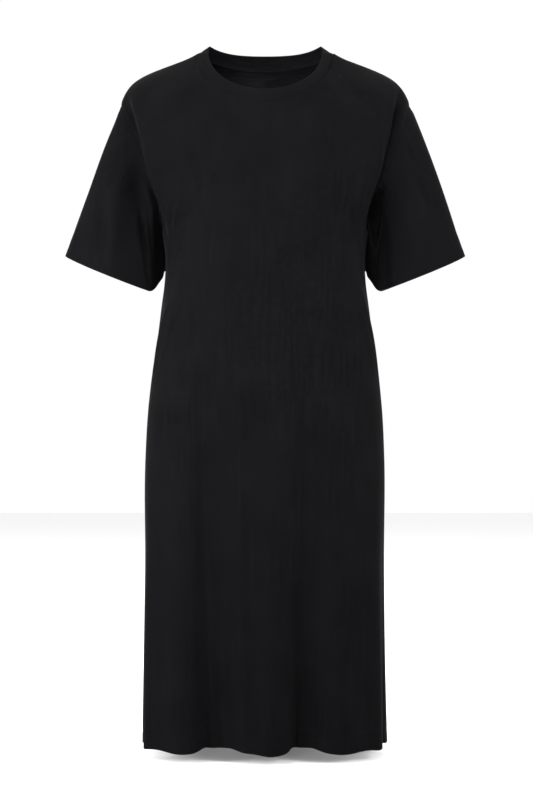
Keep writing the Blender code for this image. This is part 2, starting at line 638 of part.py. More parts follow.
def neck_band(across, walls, material):
    """The band that stands up around the neck, from the neck seam to its folded edge."""
    places = neck_places(across)
    quarter = np.array([place[2] for place in places])
    face = band_face(quarter, np.linspace(0.0, 1.0, BAND_ROWS + 1))
    normals = grid_normals(face, True)
    normals[0] = [walls[side][-1, k] for side, k, _ in places]
    return cloth("neck_band", face, normals, BAND_WALL, True,
                 ("bottom",), material)


def main():
    for old in list(bpy.data.objects):
        bpy.data.objects.remove(old, do_unlink=True)
    dress = bpy.data.collections.new("shift_dress")
    bpy.context.scene.collection.children.link(dress)
    across, rise = body_grid()
    faces, walls = body_faces(across, rise)
    armhole = armhole_seam(faces, walls, rise)
    # the left sleeve is cut from the armhole at -X, seen in a mirror
    mirror = np.array([-1.0, 1.0, 1.0])
    seen = [{side: grid[side][:, ::-1] * mirror for side in grid} for grid in (faces, walls)]
    armhole_left = armhole_seam(*seen, rise)
    pieces = [
        panel("front", faces, walls, jersey("jersey_front", JERSEY_BLACK)),
        panel("back", faces, walls, jersey("jersey_back", JERSEY_BLACK)),
        sleeve("sleeve_right", False, armhole, jersey("jersey_right", JERSEY_BLACK)),
        sleeve("sleeve_left", True, armhole_left, jersey("jersey_left", JERSEY_BLACK)),
        neck_band(across, walls, jersey("jersey_band", RIB_BLACK)),
    ]
    for piece in pieces:
        dress.objects.link(piece)


main()
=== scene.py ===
"""The looks of a black cotton jersey shift dress, in its hollow worn form.

The five CAD pieces (front panel, back panel, two sleeves and neck band) are each replaced by
thin cloth on the same form, with the finer creases, the turned hems, the seams and their
stitching.  Every cloth is a formula worked out on a grid of whole arrays: an outer face and
an inner face one cloth behind it, joined around the edges.
"""

import bpy
import numpy as np
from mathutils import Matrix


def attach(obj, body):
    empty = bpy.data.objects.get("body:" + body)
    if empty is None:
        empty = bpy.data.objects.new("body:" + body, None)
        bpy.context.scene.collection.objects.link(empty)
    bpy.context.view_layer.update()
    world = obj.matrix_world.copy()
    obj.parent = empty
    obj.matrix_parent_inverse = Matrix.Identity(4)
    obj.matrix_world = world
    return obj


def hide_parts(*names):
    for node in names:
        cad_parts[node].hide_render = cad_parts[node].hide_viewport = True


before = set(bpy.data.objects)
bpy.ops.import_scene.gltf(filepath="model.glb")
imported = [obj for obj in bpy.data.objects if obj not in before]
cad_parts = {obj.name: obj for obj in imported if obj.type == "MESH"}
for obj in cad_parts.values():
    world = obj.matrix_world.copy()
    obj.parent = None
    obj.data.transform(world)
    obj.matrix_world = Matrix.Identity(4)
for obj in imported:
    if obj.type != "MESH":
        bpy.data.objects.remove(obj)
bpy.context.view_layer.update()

bl_info = {
    "name": "Black jersey shift dress",
    "version": (1, 0, 0),
    "blender": (4, 5, 0),
    "location": "View3D > Sidebar > Dress",
    "description": "Builds a worn-form jersey dress with its seams, hems and studio",
    "category": "Add Mesh",
}

# ---- The form of the dress, in metres ----
# It follows the CAD part.  The collar's peaks, the sleeves' clearance, the troughs beside
# the armholes and the skirt's sway differ from it a little, as the photograph asks.
SEAM_TRIM = 0.00012      # what each piece keeps back from a seam

HEM_HEIGHT = -1.089
CHEST_HEIGHT = -0.150
HEM_SWING = 0.005
HEM_SWING_FULL = 0.015
HEM_SWING_RISE = 0.25
SKIRT_SWAY = -0.0018
WAIST_HEIGHT = -0.450

LEVEL_COLUMNS = ("height", "half_width", "front", "back", "boxiness")
LEVELS = (
    (-1.089, 0.1935, 0.090, 0.098, 2.5),     # hem
    (-0.950, 0.1910, 0.094, 0.099, 2.5),     # shin
    (-0.800, 0.1890, 0.098, 0.101, 2.5),     # knee
    (-0.640, 0.1883, 0.104, 0.109, 2.4),     # seat
    (-0.560, 0.1840, 0.107, 0.108, 2.4),     # hip
    (-0.484, 0.1755, 0.109, 0.102, 2.4),     # high hip
    (-0.400, 0.1655, 0.112, 0.096, 2.4),     # waist
    (-0.347, 0.1590, 0.116, 0.095, 2.4),     # under the bust
    (-0.305, 0.1580, 0.119, 0.097, 2.4),     # bust
    (-0.270, 0.1620, 0.121, 0.099, 2.4),     # underarm
    (-0.216, 0.1620, 0.122, 0.103, 2.5),     # full bust
    (-0.150, 0.1620, 0.113, 0.103, 2.5),     # chest
)

UNDERARM = (0.162, -0.285)
SHOULDER_POINT = (0.228, -0.080)
UNDERARM_LEVEL = -0.270
ARMHOLE_FRONT = 0.060
ARMHOLE_BACK = 0.064
CHEST_TURN = 0.65
UNDERARM_RISE = (UNDERARM_LEVEL - HEM_HEIGHT) / (CHEST_HEIGHT - HEM_HEIGHT)

NECK_HALF_WIDTH = 0.108
NECK_FRONT = 0.098
NECK_BACK = 0.075
NECK_FRONT_DROP = 0.091
NECK_BACK_DROP = 0.0155
EDGE_HALF_WIDTH = 0.0895
EDGE_FRONT = 0.087
EDGE_BACK = 0.064
EDGE_FRONT_DROP = 0.0705
EDGE_SIDE_RISE = 0.0025
EDGE_PEAK_RISE = 0.0142
EDGE_BACK_RISE = 0.0080
EDGE_PEAK_PLACE = 0.20
BAND_CROWN = 0.0007
BAND_CROWN_RISE = 0.6
NECK_SHARE = 0.48

SHOULDER_SLOPE = 0.417
SHOULDER_ROUND = 10
SHOULDER_SAG = 0.025
SHOULDER_SAG_POWER = 5
YOKE_BACKLEAN = 0.35
YOKE_ARRIVAL = {"front": (0.90, 0.25), "back": (0.30, 0.20)}
YOKE_FULLNESS = 0.95
YOKE_STEP = 0.004

CUFF_CENTRE = (0.2370, 0.002, -0.3510)
CUFF_LEAN = 0.397
CUFF_HALF_WIDTH = 0.0850
CUFF_HALF_DEPTH = 0.0500
CUFF_LIFT = 0.040
CUFF_LIFT_FORE = (0.372, 0.485)
CUFF_LIFT_AFT = (0.60, 0.74)
CUFF_FRONT_DROP = 0.0065
CUFF_BACK_LIFT = 0.010
CUFF_BACK_SHIFT = 0.018
CUFF_BODY_SHIFT = 0.008
SLEEVE_CLEARANCE = 0.0016
CLEARANCE_SOFTNESS = 0.0012
CLEARANCE_FROM = 0.35
SLEEVE_HANG = (0.335, 0.0, -0.942)
CAP_REACH = 0.45
CAP_STRAIGHTENING = 0.88
CAP_WIDTH = 0.17
UNDERARM_HANG = (-0.30, 0.10, -0.95)
UNDERARM_WIDTH = 0.12
UNDERARM_ROLL = 0.040
UNDERARM_FALL = 0.070

# Hanging folds, from their top down to the hem, in quarter turns around the body (0 centre
# front, 1 the seam at +X, 2 centre back, -1 the seam at -X).  Ridges are positive.
# Columns: around_top, around_hem, top, depth, width
HANGING_FOLDS = (
    (-0.79, -0.79, -0.56, 0.005, 0.060),
    (-0.50, -0.52, -0.46, 0.008, 0.095),
    (-0.35, -0.307, -0.40, -0.018, 0.085),
    (-0.13, -0.10, -0.50, -0.003, 0.050),
    (0.08, 0.055, -0.46, 0.009, 0.105),
    (0.31, 0.265, -0.36, -0.018, 0.078),
    (0.47, 0.50, -0.46, 0.007, 0.090),
    (0.74, 0.74, -0.56, 0.005, 0.055),
    (0.89, 0.89, -0.68, -0.010, 0.060),
    (-0.91, -0.91, -0.70, -0.010, 0.060),
    (1.19, 1.16, -0.50, 0.007, 0.090),
    (1.44, 1.41, -0.44, -0.016, 0.090),
    (1.66, 1.64, -0.50, 0.009, 0.100),
    (1.86, 1.88, -0.42, -0.013, 0.080),
    (2.12, 2.10, -0.52, 0.008, 0.095),
    (2.36, 2.33, -0.46, -0.015, 0.085),
    (2.62, 2.66, -0.52, 0.008, 0.110),
    (2.84, 2.85, -0.60, -0.007, 0.060),
)
FOLD_GROWTH = 1.2
FOLD_FADE = (1.0, 1.6)

# Drag folds, from one place to another, deepest half way
# Columns: around_top, top, around_foot, foot, depth, width
DRAG_FOLDS = (
    (-0.60, -0.330, -0.90, -0.540, 0.0055, 0.055),
    (0.64, -0.330, 0.92, -0.550, 0.0050, 0.055),
    (-0.88, -0.300, -0.98, -0.500, -0.0065, 0.070),
    (0.90, -0.300, 0.99, -0.500, -0.0065, 0.070),
    (-0.48, -0.230, -0.86, -0.360, -0.0035, 0.050),
    (0.50, -0.215, 0.84, -0.400, -0.0035, 0.050),
    (1.15, -0.290, 1.45, -0.520, -0.0050, 0.070),
    (-1.16, -0.300, -1.50, -0.500, -0.0045, 0.070),
    (1.90, -0.340, 2.15, -0.520, -0.0040, 0.090),
)

# The trough beside each armhole, on the body.  edge is -1 for the armhole at +X and 0 for the
# one at -X; its distance from the seam grows with a power of the share of the way up, to
# place at the shoulder point, and it fades out above head
# Columns: side, edge, depth, place, power, width, head
VALLEYS = (
    ("front", -1, 0.0135, 0.030, 2.0, 0.0062, 0.78),
    ("front", 0, 0.0135, 0.018, 2.6, 0.0085, 0.78),
    ("back", -1, 0.0060, 0.012, 0.0, 0.0080, 0.62),
    ("back", 0, 0.0060, 0.012, 0.0, 0.0080, 0.62),
)
VALLEY_BROW = 0.0028
BROW_PLACE = 2.2          # in widths of the trough
BROW_WIDTH = 1.3
VALLEY_FOOT = (0.06, 0.34)
VALLEY_SAMPLES = 160

# Folds down the sleeve, from the armhole seam to the hem, in turns around it
# Columns: turn_seam, turn_hem, depth, width
SLEEVE_FOLDS = (
    (0.40, 0.435, -0.0060, 0.035),
    (0.60, 0.575, -0.0050, 0.045),
    (0.22, 0.24, 0.0030, 0.070),
)

# ---- What only the looks have ----
# Fine creases on the body, in the columns of the drag folds
CREASES = (
    (-0.52, -0.200, -0.74, -0.325, 0.0014, 0.024),
    (-0.47, -0.235, -0.73, -0.360, -0.0024, 0.034),
    (-0.50, -0.280, -0.70, -0.420, 0.0018, 0.030),
    (-0.50, -0.340, -0.82, -0.540, 0.0024, 0.026),
    (0.48, -0.215, 0.74, -0.400, -0.0026, 0.028),
    (0.57, -0.330, 0.84, -0.540, 0.0022, 0.026),
    (-0.128, -0.560, -0.100, -1.000, -0.0012, 0.028),
    (0.16, -0.640, 0.15, -1.060, -0.0010, 0.030),
    (-0.62, -0.700, -0.66, -1.080, -0.0014, 0.034),
    (0.62, -0.680, 0.64, -1.080, -0.0012, 0.034),
    (1.22, -0.200, 1.34, -0.360, -0.0022, 0.030),
    (-1.24, -0.210, -1.36, -0.370, -0.0020, 0.030),
    (1.30, -0.260, 1.55, -0.420, 0.0020, 0.036),
    (-1.28, -0.280, -1.52, -0.440, 0.0020, 0.036),
    (1.76, -0.420, 2.20, -0.520, -0.0024, 0.060),
    (2.30, -0.430, 1.90, -0.560, 0.0018, 0.060),
    (2.24, -0.620, 2.22, -1.060, -0.0014, 0.034),
    (1.55, -0.640, 1.52, -1.070, -0.0014, 0.034),
)

# Fine creases seen from the front, on the front panel and the sleeves, in metres across and
# up.  Each runs from its top to its foot.
# Columns: across_top, top, across_foot, foot, depth, width
SEEN_CREASES = (
    # fold in the sleeve at -X, beside the body
    (-0.197, -0.240, -0.178, -0.380, -0.0090, 0.0045),
    # the roll between it and the body
    (-0.178, -0.240, -0.169, -0.345, 0.0055, 0.0045),
    # the seam's hollow at -X
    (-0.186, -0.190, -0.150, -0.310, -0.0105, 0.0046),
    (-0.206, -0.090, -0.186, -0.200, -0.0050, 0.0044),
    # cap of the sleeve at -X
    (-0.227, -0.084, -0.234, -0.168, 0.0013, 0.0034),
    (-0.219, -0.105, -0.220, -0.190, 0.0007, 0.0040),
    (-0.253, -0.190, -0.250, -0.353, -0.0024, 0.0100),
    (-0.231, -0.205, -0.237, -0.369, 0.0018, 0.0100),
    # the seam's hollow at +X
    (0.198, -0.084, 0.178, -0.215, -0.0060, 0.0040),
    (0.182, -0.185, 0.161, -0.348, -0.0115, 0.0062),
    # the body turns away at +X
    (0.166, -0.150, 0.163, -0.390, -0.0060, 0.0140),
    # shade of the sleeve at +X
    (0.183, -0.260, 0.187, -0.415, -0.0046, 0.0100),
    # cap of the sleeve at +X
    (0.212, -0.094, 0.215, -0.187, 0.0013, 0.0036),
    (0.223, -0.128, 0.226, -0.237, -0.0017, 0.0048),
    # streaks from the bust down to the side seam at -X
    (-0.128, -0.229, -0.146, -0.294, 0.0013, 0.0034),
    (-0.145, -0.225, -0.151, -0.305, 0.0013, 0.0034),
    (-0.137, -0.238, -0.151, -0.327, -0.0016, 0.0044),
    (-0.133, -0.296, -0.156, -0.394, -0.0020, 0.0060),
    (-0.122, -0.346, -0.160, -0.471, 0.0024, 0.0042),
    (-0.131, -0.336, -0.157, -0.428, -0.0020, 0.0052),
    # streaks from the bust down to the side seam at +X
    (0.119, -0.245, 0.149, -0.346, 0.0020, 0.0034),
    (0.126, -0.248, 0.149, -0.339, -0.0034, 0.0046),
    (0.134, -0.379, 0.164, -0.483, 0.0024, 0.0042),
    (0.108, -0.395, 0.127, -0.505, -0.0018, 0.0080),
    # gathers beside the neck band
    (0.099, -0.003, 0.106, -0.041, 0.0010, 0.0028),
    (0.112, -0.009, 0.118, -0.050, -0.0010, 0.0034),
    (-0.104, -0.006, -0.113, -0.047, -0.0010, 0.0034),
)

# Fine creases on the skirt, in the columns of the hanging folds: they give the two front
# troughs their steep walls and broad floors
HANGING_CREASES = (
    (-0.405, -0.392, -0.44, -0.0105, 0.032),
    (-0.25, -0.215, -0.46, -0.0072, 0.060),
    (-0.13, -0.100, -0.50, 0.0020, 0.050),
    (0.25, 0.215, -0.42, -0.0110, 0.030),
    (0.37, 0.340, -0.46, -0.0062, 0.050),
)

# Fine creases on the back of the sleeves: share of a turn around and share of the way down,
# at the crease's top and foot
# Columns: hand, turn_top, top, turn_foot, foot, depth, width
SLEEVE_CREASES = (
    ("left", 0.000, -0.10, 0.000, 0.85, 0.0020, 0.080),
    ("left", 1.000, -0.10, 1.000, 0.85, 0.0020, 0.080),
    ("right", 0.000, -0.10, 0.000, 0.85, 0.0055, 0.080),
    ("right", 1.000, -0.10, 1.000, 0.85, 0.0055, 0.080),
    ("left", 0.680, 0.15, 0.660, 1.20, -0.0030, 0.034),
    ("left", 0.820, 0.10, 0.860, 1.20, 0.0016, 0.040),
    ("right", 0.700, 0.10, 0.665, 1.20, -0.0026, 0.030),
    ("right", 0.850, 0.15, 0.880, 1.10, 0.0018, 0.036),
)

# The sleeve's inner wall is drawn to the body behind the body's widest line
HUG_TURN = 0.585
HUG_WIDTH = 0.050
HUG_RISE = (0.0, 0.40)

PANEL_COLUMNS = 152
COLUMN_SPACING = (0.55, 0.45)    # shares of an even and of a sine spacing
HEM_ROWS = (0.0, 0.00035, 0.0010, 0.0030, 0.0060, 0.0090, 0.0120, 0.0145, 0.0160, 0.0170,
            0.0180, 0.0200, 0.0215, 0.0225, 0.0235, 0.0250, 0.0275, 0.0310, 0.0350)
ROWS_TO_UNDERARM = 150
ROWS_TO_CHEST = 78
ROWS_TO_TOP = 44
SLEEVE_ROWS = 90
SLEEVE_COLUMNS_AROUND = 220
RING_SMOOTHING = 0.004    # in turns, of the armhole's points
LEAVE_SMOOTHING = 0.020   # and of the way the sleeve leaves it
NECK_EASE_WIDTH = 0.12
NECK_EASE_FROM = (1.1, 1.5)
NECK_EASE_TO = (1.92, 2.0)
NECK_EASE_PASSES = 60
BAND_ROWS = (0.0, 0.03, 0.10, 0.22, 0.36, 0.50, 0.64, 0.78, 0.88, 0.94, 0.975, 0.993, 1.0)
SHARP_ANGLE = 40.0
TOLERANCE = 1e-6
TINY = 1e-12
SEAM_DIP = 0.0009        # how far the cloth rolls in at a seam
SEAM_DIP_WIDTH = 0.0026
NEEDLE_GAP = 0.0050      # between the two rows of a twin needle
NEEDLE_DIP = 0.00035
NEEDLE_DIP_WIDTH = 0.0011

DOUBLING = 0.9           # how much thicker the cloth is in hems and over allowances
HEM_STEP = (0.001, 0.003)       # where a turned hem's second cloth ends, past its depth
ALLOWANCE_STEP = 0.002
EDGE_LEAST = 0.25        # least share of its thickness that a folded edge keeps
SEAM_CALM = 8            # power of the place across, by which slow waves die at the seams
FACING_FRONT = (0.05, 0.45)     # how far a normal turns forwards for a seen crease
SEEN_SWELL = 1.5
SLEEVE_FOLD_GROWTH = (0.0, 0.50)
SLEEVE_CREASE_GROWTH = (0.0, 0.12)
SEEN_CREASE_GROWTH = (0.0, 0.10)

# The slow waviness of hung jersey.  Columns: strength, per quarter turn, per metre, phase
WAVINESS = 0.0006
WAVES = (
    (1.0, 5.1, 9.0, 0.7),
    (1.0, -3.3, 17.0, 2.1),
    (0.6, 11.0, 6.0, 4.0),
)

# A stitch.  Columns of its stations: share of the pitch, share of the width, height
STITCH_HALF_WIDTH = 0.00024
STITCH_HALF_HEIGHT = 0.00020
STITCH_STATIONS = (
    (-0.42, 0.35, -0.00012),
    (-0.22, 1.0, 0.00006),
    (0.22, 1.0, 0.00006),
    (0.42, 0.35, -0.00012),
)
STITCH_SIDES = 6
STITCH_LOOK_AHEAD = 0.0005
STITCH_NUDGE = 1e-9      # keeps the last stitch's direction from being zero

# The knits, in metres, and the noises that vary their black: scale, detail, roughness
# the last entry of each knit: how much lighter its inner face is painted, as painted light in
# its purl lines
JERSEY = {"wale": 0.00085, "course": 0.00062, "depth": 0.00012, "sheen": 0.012,
          "purl_and_painted_light": 1.15}
RIB = {"wale": 0.0016, "course": 0.0009, "depth": 0.00030, "sheen": 0.013,
       "purl_and_painted_light": 0.60}
LOOP_BEND = 1.6
LOOP_RELIEF = (0.6, 0.4)
MOTTLE = (120.0, 4.0, 0.65)
CLOUD = (16.0, 2.0, 0.5)
SLUB = (1.0, 2.0, 0.5)
PURL = (1.0, 3.0, 0.6)
SLUB_STRETCH = (210.0, 11.0, 1.0)
PURL_STRETCH = (26.0, 400.0, 1.0)
MOTTLE_TONE = 1.20
CLOUD_TONE = 0.80
SLUB_TONE = 0.80
TONE_SHIFT = 0.40
# contrast and offset of the reverse's purl lines; the offset paints the inner face lighter, as
# painted light inside the neck
PURL_LINES_AND_PAINTED_LIGHT = (7.0, 2.4)
KNIT_ROUGHNESS = (0.80, 0.12)
WHITE = (1.0, 1.0, 1.0, 1.0)


# ---- Sizes and colours that a user would change ----
def cloth_length(name, description, default, least, most, precision=4):
    """A length that the sidebar shows."""
    return bpy.props.FloatProperty(name=name, description=description, default=default,
                                   min=least, max=most, precision=precision, unit="LENGTH")


def cloth_colour(name, description, default):
    """A colour that the sidebar shows."""
    return bpy.props.FloatVectorProperty(name=name, description=description, size=3,
                                         subtype="COLOR", default=default, min=0.0, max=1.0)


class DressSizes(bpy.types.PropertyGroup):
    """Sizes of the cloth and its sewing."""

    cloth: cloth_length("Cloth", "Thickness of the jersey", 0.0009, 0.0003, 0.0020, 5)
    band_cloth: cloth_length("Neck band", "Thickness of the folded neck band",
                             0.0024, 0.0010, 0.0040, 5)
    hem: cloth_length("Hem", "Depth of the turned hem of the skirt", 0.0225, 0.010, 0.040)
    cuff_hem: cloth_length("Sleeve hem", "Depth of the turned hems of the sleeves",
                           0.0200, 0.010, 0.040)
    allowance: cloth_length("Seam allowance", "Width of the overlocked seams inside",
                            0.0065, 0.003, 0.012)
    stitch: cloth_length("Stitch", "Pitch of the hems' stitches", 0.0030, 0.0015, 0.0060)
    creases: bpy.props.FloatProperty(
        name="Creases", description="Strength of the fine creases", default=1.0,
        min=0.0, max=2.0, subtype="FACTOR")


class DressColours(bpy.types.PropertyGroup):
    """Colours of the cloth, thread and studio."""

    jersey: cloth_colour("Jersey", "Colour of the cotton jersey", (0.00145, 0.00145, 0.00170))
    rib: cloth_colour("Rib", "Colour of the neck band's rib", (0.00145, 0.00145, 0.00170))
    thread: cloth_colour("Thread", "Colour of the sewing thread", (0.0014, 0.0014, 0.0017))
    floor: cloth_colour("Floor", "Colour of the studio's floor", (0.80, 0.80, 0.80))


# ---- Small helpers ----
def ease(value, start, end):
    """0 before start, 1 after end, and between them 3s^2 - 2s^3 of the share s."""
    share = np.clip((value - start) / (end - start), 0.0, 1.0)
    return share * share * (3.0 - 2.0 * share)


def bell(value):
    """A soft bump: e to the power of minus the square."""
    return np.exp(-value * value)


def unit(vectors):
    """The same directions, one metre long."""
    return vectors / np.linalg.norm(vectors, axis=-1, keepdims=True)


def swelling(share):
    """A half sine over the share from 0 to 1, and 0 outside it."""
    return np.sin(np.pi * np.clip(share, 0.0, 1.0))


def line_at(at, known, line, period=None):
    """The points of a line at any places along it, between those that are known."""
    return np.stack([np.interp(at, known, line[:, axis], period=period)
                     for axis in range(3)], axis=-1)


def closed_around(grid):
    """A grid [row][around] with its first column again at its end."""
    return np.concatenate([grid, grid[:, :1]], axis=1)


def quad_crosses(points):
    """For each quad of a grid the cross product of its diagonals."""
    return np.cross(points[1:, 1:] - points[:-1, :-1], points[1:, :-1] - points[:-1, 1:])


def column(table, columns, name):
    """One named column of a table, as an array."""
    return np.array([row[columns.index(name)] for row in table])


def hermite(start, leave, end, arrive, share):
    """The cubic from start to end that leaves and arrives with the given tangents."""
    square = share * share
    cube = square * share
    return (start * (2 * cube - 3 * square + 1) + leave * (cube - 2 * square + share)
            + end * (3 * square - 2 * cube) + arrive * (cube - square))


def level(name, height):
    """A column of LEVELS at any height, on a cubic through its rows."""
    known = column(LEVELS, LEVEL_COLUMNS, "height")
    values = column(LEVELS, LEVEL_COLUMNS, name)
    slopes = np.gradient(values, known)
    height = np.clip(height, known[0], known[-1])
    low = np.clip(np.searchsorted(known, height, side="right") - 1, 0, len(known) - 2)
    span = known[low + 1] - known[low]
    share = (height - known[low]) / span
    return hermite(values[low], span * slopes[low],
                   values[low + 1], span * slopes[low + 1], share)


def grid_normals(points, closed):
    """Outward normals of a grid [row][around]: at each point the sum of its quads'
    normals, by area, where a quad's normal is the cross product of its diagonals."""
    if closed:
        points = np.concatenate([points[:, -1:], points, points[:, :1]], axis=1)
    quads = quad_crosses(points)
    total = np.zeros_like(points)
    for rows in (slice(None, -1), slice(1, None)):
        for columns in (slice(None, -1), slice(1, None)):
            total[rows, columns] += quads
    return unit(total[:, 1:-1] if closed else total)


def lengths(points, axis):
    """Length of cloth from the start of each row (axis 1) or column (axis 0)."""
    steps = np.linalg.norm(np.diff(points, axis=axis), axis=-1)
    first = np.zeros_like(np.take(steps, [0], axis=axis))
    return np.cumsum(np.concatenate([first, steps], axis=axis), axis=axis)


# ---- The body ----
def armhole_turn(height):
    """How far up the armhole a section ends, from 0 at the underarm to pi."""
    share = (height - UNDERARM_LEVEL) / (CHEST_HEIGHT - UNDERARM_LEVEL)
    return np.pi * CHEST_TURN * np.clip(share, 0.0, 1.0)


def section(side, across, height):
    """A panel's face up to the chest: half a superellipse, x = w sin(a)^(2/p) and
    y = d cos(a)^(2/p), that stops where the armhole cuts it."""
    turn = armhole_turn(height)
    middle = 0.5 * (UNDERARM[1] + SHOULDER_POINT[1])
    reach = 0.5 * (SHOULDER_POINT[1] - UNDERARM[1])
    drop = (UNDERARM[1] - UNDERARM_LEVEL) * ease(height, WAIST_HEIGHT, UNDERARM_LEVEL)
    seam_height = np.where(height > UNDERARM_LEVEL, middle - reach * np.cos(turn),
                           height + drop)
    rise = np.clip((seam_height - UNDERARM[1]) / (2.0 * reach), 0.0, 1.0)
    seam_across = UNDERARM[0] + (SHOULDER_POINT[0] - UNDERARM[0]) * rise
    seam_across = np.where(height > UNDERARM_LEVEL, seam_across, level("half_width", height))
    forward = ARMHOLE_FRONT if side == "front" else ARMHOLE_BACK
    seam_depth = forward * np.sin(turn)

    depth = level(side, height)
    power = level("boxiness", height)
    end_angle = np.arccos(np.clip(seam_depth / depth, 0.0, 1.0) ** (power / 2.0))
    half_width = seam_across / np.sin(end_angle) ** (2.0 / power)
    balance = (half_width / depth) ** (power / 4.0)
    end_share = np.clip(end_angle / (np.pi / 2.0), 0.0, 1.0 - TINY)
    ratio = (balance * end_share / (1.0 - end_share)) ** (2.0 / power)
    place = np.clip(np.abs(across) * ratio / (1.0 + ratio), 0.0, 1.0)
    rising = place ** (power / 2.0)
    falling = (1.0 - place) ** (power / 2.0)
    angle = (np.pi / 2.0) * rising / (rising + balance * falling)

    sway = SKIRT_SWAY * ease(-height, -WAIST_HEIGHT, -HEM_HEIGHT)
    x = np.sign(across) * half_width * np.sin(angle) ** (2.0 / power) + sway
    y = depth * np.clip(np.cos(angle), 0.0, 1.0) ** (2.0 / power)
    z = height + (seam_height - height) * across * across
    if side == "front":
        y = -y
    return np.stack(np.broadcast_arrays(x, y, z), axis=-1), place * np.sign(across)


def neck_ring(turn, ring):
    """The neck seam or the band's folded edge: half ellipses in front and behind, whose
    height falls with their depth in front.  turn is 0 in front and 2 behind."""
    angle = turn * np.pi / 2.0
    fore = np.clip(np.cos(angle), 0.0, 1.0)
    aft = np.clip(-np.cos(angle), 0.0, 1.0)
    if ring == "seam":
        x = NECK_HALF_WIDTH * np.sin(angle)
        y = NECK_BACK * aft - NECK_FRONT * fore
        z = -NECK_FRONT_DROP * fore - NECK_BACK_DROP * aft * aft
    else:
        x = EDGE_HALF_WIDTH * np.sin(angle)
        y = EDGE_BACK * aft - EDGE_FRONT * fore
        rise = (EDGE_PEAK_RISE - EDGE_SIDE_RISE) * ease(aft, 0.0, EDGE_PEAK_PLACE)
        settle = (EDGE_PEAK_RISE - EDGE_BACK_RISE) * ease(aft, EDGE_PEAK_PLACE, 1.0)
        z = EDGE_SIDE_RISE - (EDGE_FRONT_DROP + EDGE_SIDE_RISE) * fore + rise - settle
    return np.stack(np.broadcast_arrays(x, y, z), axis=-1)


def top_edge(side, across):
    """A panel's top edge: the neckline near the centre, then the shoulder seam."""
    share = np.abs(across)
    turn = np.clip(share / NECK_SHARE, 0.0, 1.0)
    neck = neck_ring(turn if side == "front" else 2.0 - turn, "seam")
    along = np.clip((share - NECK_SHARE) / (1.0 - NECK_SHARE), 0.0, 1.0)
    length = SHOULDER_POINT[0] - NECK_HALF_WIDTH
    fall = -SHOULDER_POINT[1] - SHOULDER_SLOPE * length
    sag = SHOULDER_SAG * along * (1.0 - along) ** SHOULDER_SAG_POWER
    x = NECK_HALF_WIDTH + length * along
    z = -SHOULDER_SLOPE * length * along - fall * along ** SHOULDER_ROUND - sag
    shoulder = np.stack(np.broadcast_arrays(x, 0.0 * x, z), axis=-1)
    edge = np.where((share < NECK_SHARE)[..., None], neck, shoulder)
    edge[..., 0] *= np.where(across < 0, -1.0, 1.0)
    return edge


def yoke(side, across, share):
    """The panel above the chest: a cubic in each column, from the chest section, the way
    the panel reaches it, to the neckline or the shoulder seam."""
    start, _ = section(side, across, np.full_like(across, CHEST_HEIGHT))
    before, _ = section(side, across, np.full_like(across, CHEST_HEIGHT - YOKE_STEP))
    end = top_edge(side, across)
    chord = np.linalg.norm(end - start, axis=-1, keepdims=True)
    turn = np.clip(np.abs(across) / NECK_SHARE, 0.0, 1.0) * np.pi / 2.0
    along = np.clip((np.abs(across) - NECK_SHARE) / (1.0 - NECK_SHARE), 0.0, 1.0)
    inwards = 1.0 if side == "front" else -1.0
    at_neck, at_point = YOKE_ARRIVAL[side]
    slope = at_neck + (at_point - at_neck) * along
    back = YOKE_BACKLEAN * np.cos(turn) ** 2 + np.sin(turn) ** 2
    up = np.cos(turn) ** 2 + slope * np.sin(turn) ** 2
    leave = unit(start - before) * chord * YOKE_FULLNESS
    arrive = unit(np.stack([0.0 * turn, inwards * back, up], axis=-1)) * chord * YOKE_FULLNESS
    return hermite(start, leave, end, arrive, share[..., None])


def panel_base(side, across, rise):
    """A panel's face without folds.  rise is 0 at the hem, 1 at the chest and 2 on top."""
    across, rise = np.broadcast_arrays(np.asarray(across, float), np.asarray(rise, float))
    height = HEM_HEIGHT + (CHEST_HEIGHT - HEM_HEIGHT) * np.clip(rise, 0.0, 1.0)
    lower, place = section(side, across, height)
    upper = yoke(side, across, np.clip(rise - 1.0, 0.0, 1.0))
    return np.where((rise > 1.0)[..., None], upper, lower), place, height


def apart_around(around, centre):
    """Quarter turns from a fold's centre, the short way around."""
    return np.mod(around - centre + 2.0, 4.0) - 2.0


def fold_depth(side, place, height, creases):
    """Lift of the folds: each hanging fold is a bell around its centre line that grows
    downwards, and each drag fold or crease one that swells and dies along its line."""
    around = place if side == "front" else 2.0 - place
    total = np.zeros_like(place)
    for rows, strength in ((HANGING_FOLDS, 1.0), (HANGING_CREASES, creases)):
        for top_at, hem_at, top, depth, width in rows:
            grown = np.clip((top - height) / (top - HEM_HEIGHT), 0.0, 1.0)
            apart = apart_around(around, top_at + (hem_at - top_at) * grown)
            total = total + strength * depth * grown ** FOLD_GROWTH * bell(apart / width)
    for rows, strength in ((DRAG_FOLDS, 1.0), (CREASES, creases)):
        for top_at, top, foot_at, foot, depth, width in rows:
            share = (top - height) / (top - foot)
            centre = top_at + (foot_at - top_at) * share
            swell = swelling(share) ** 2
            apart = apart_around(around, centre)
            total = total + strength * depth * swell * bell(apart / width)
    return total


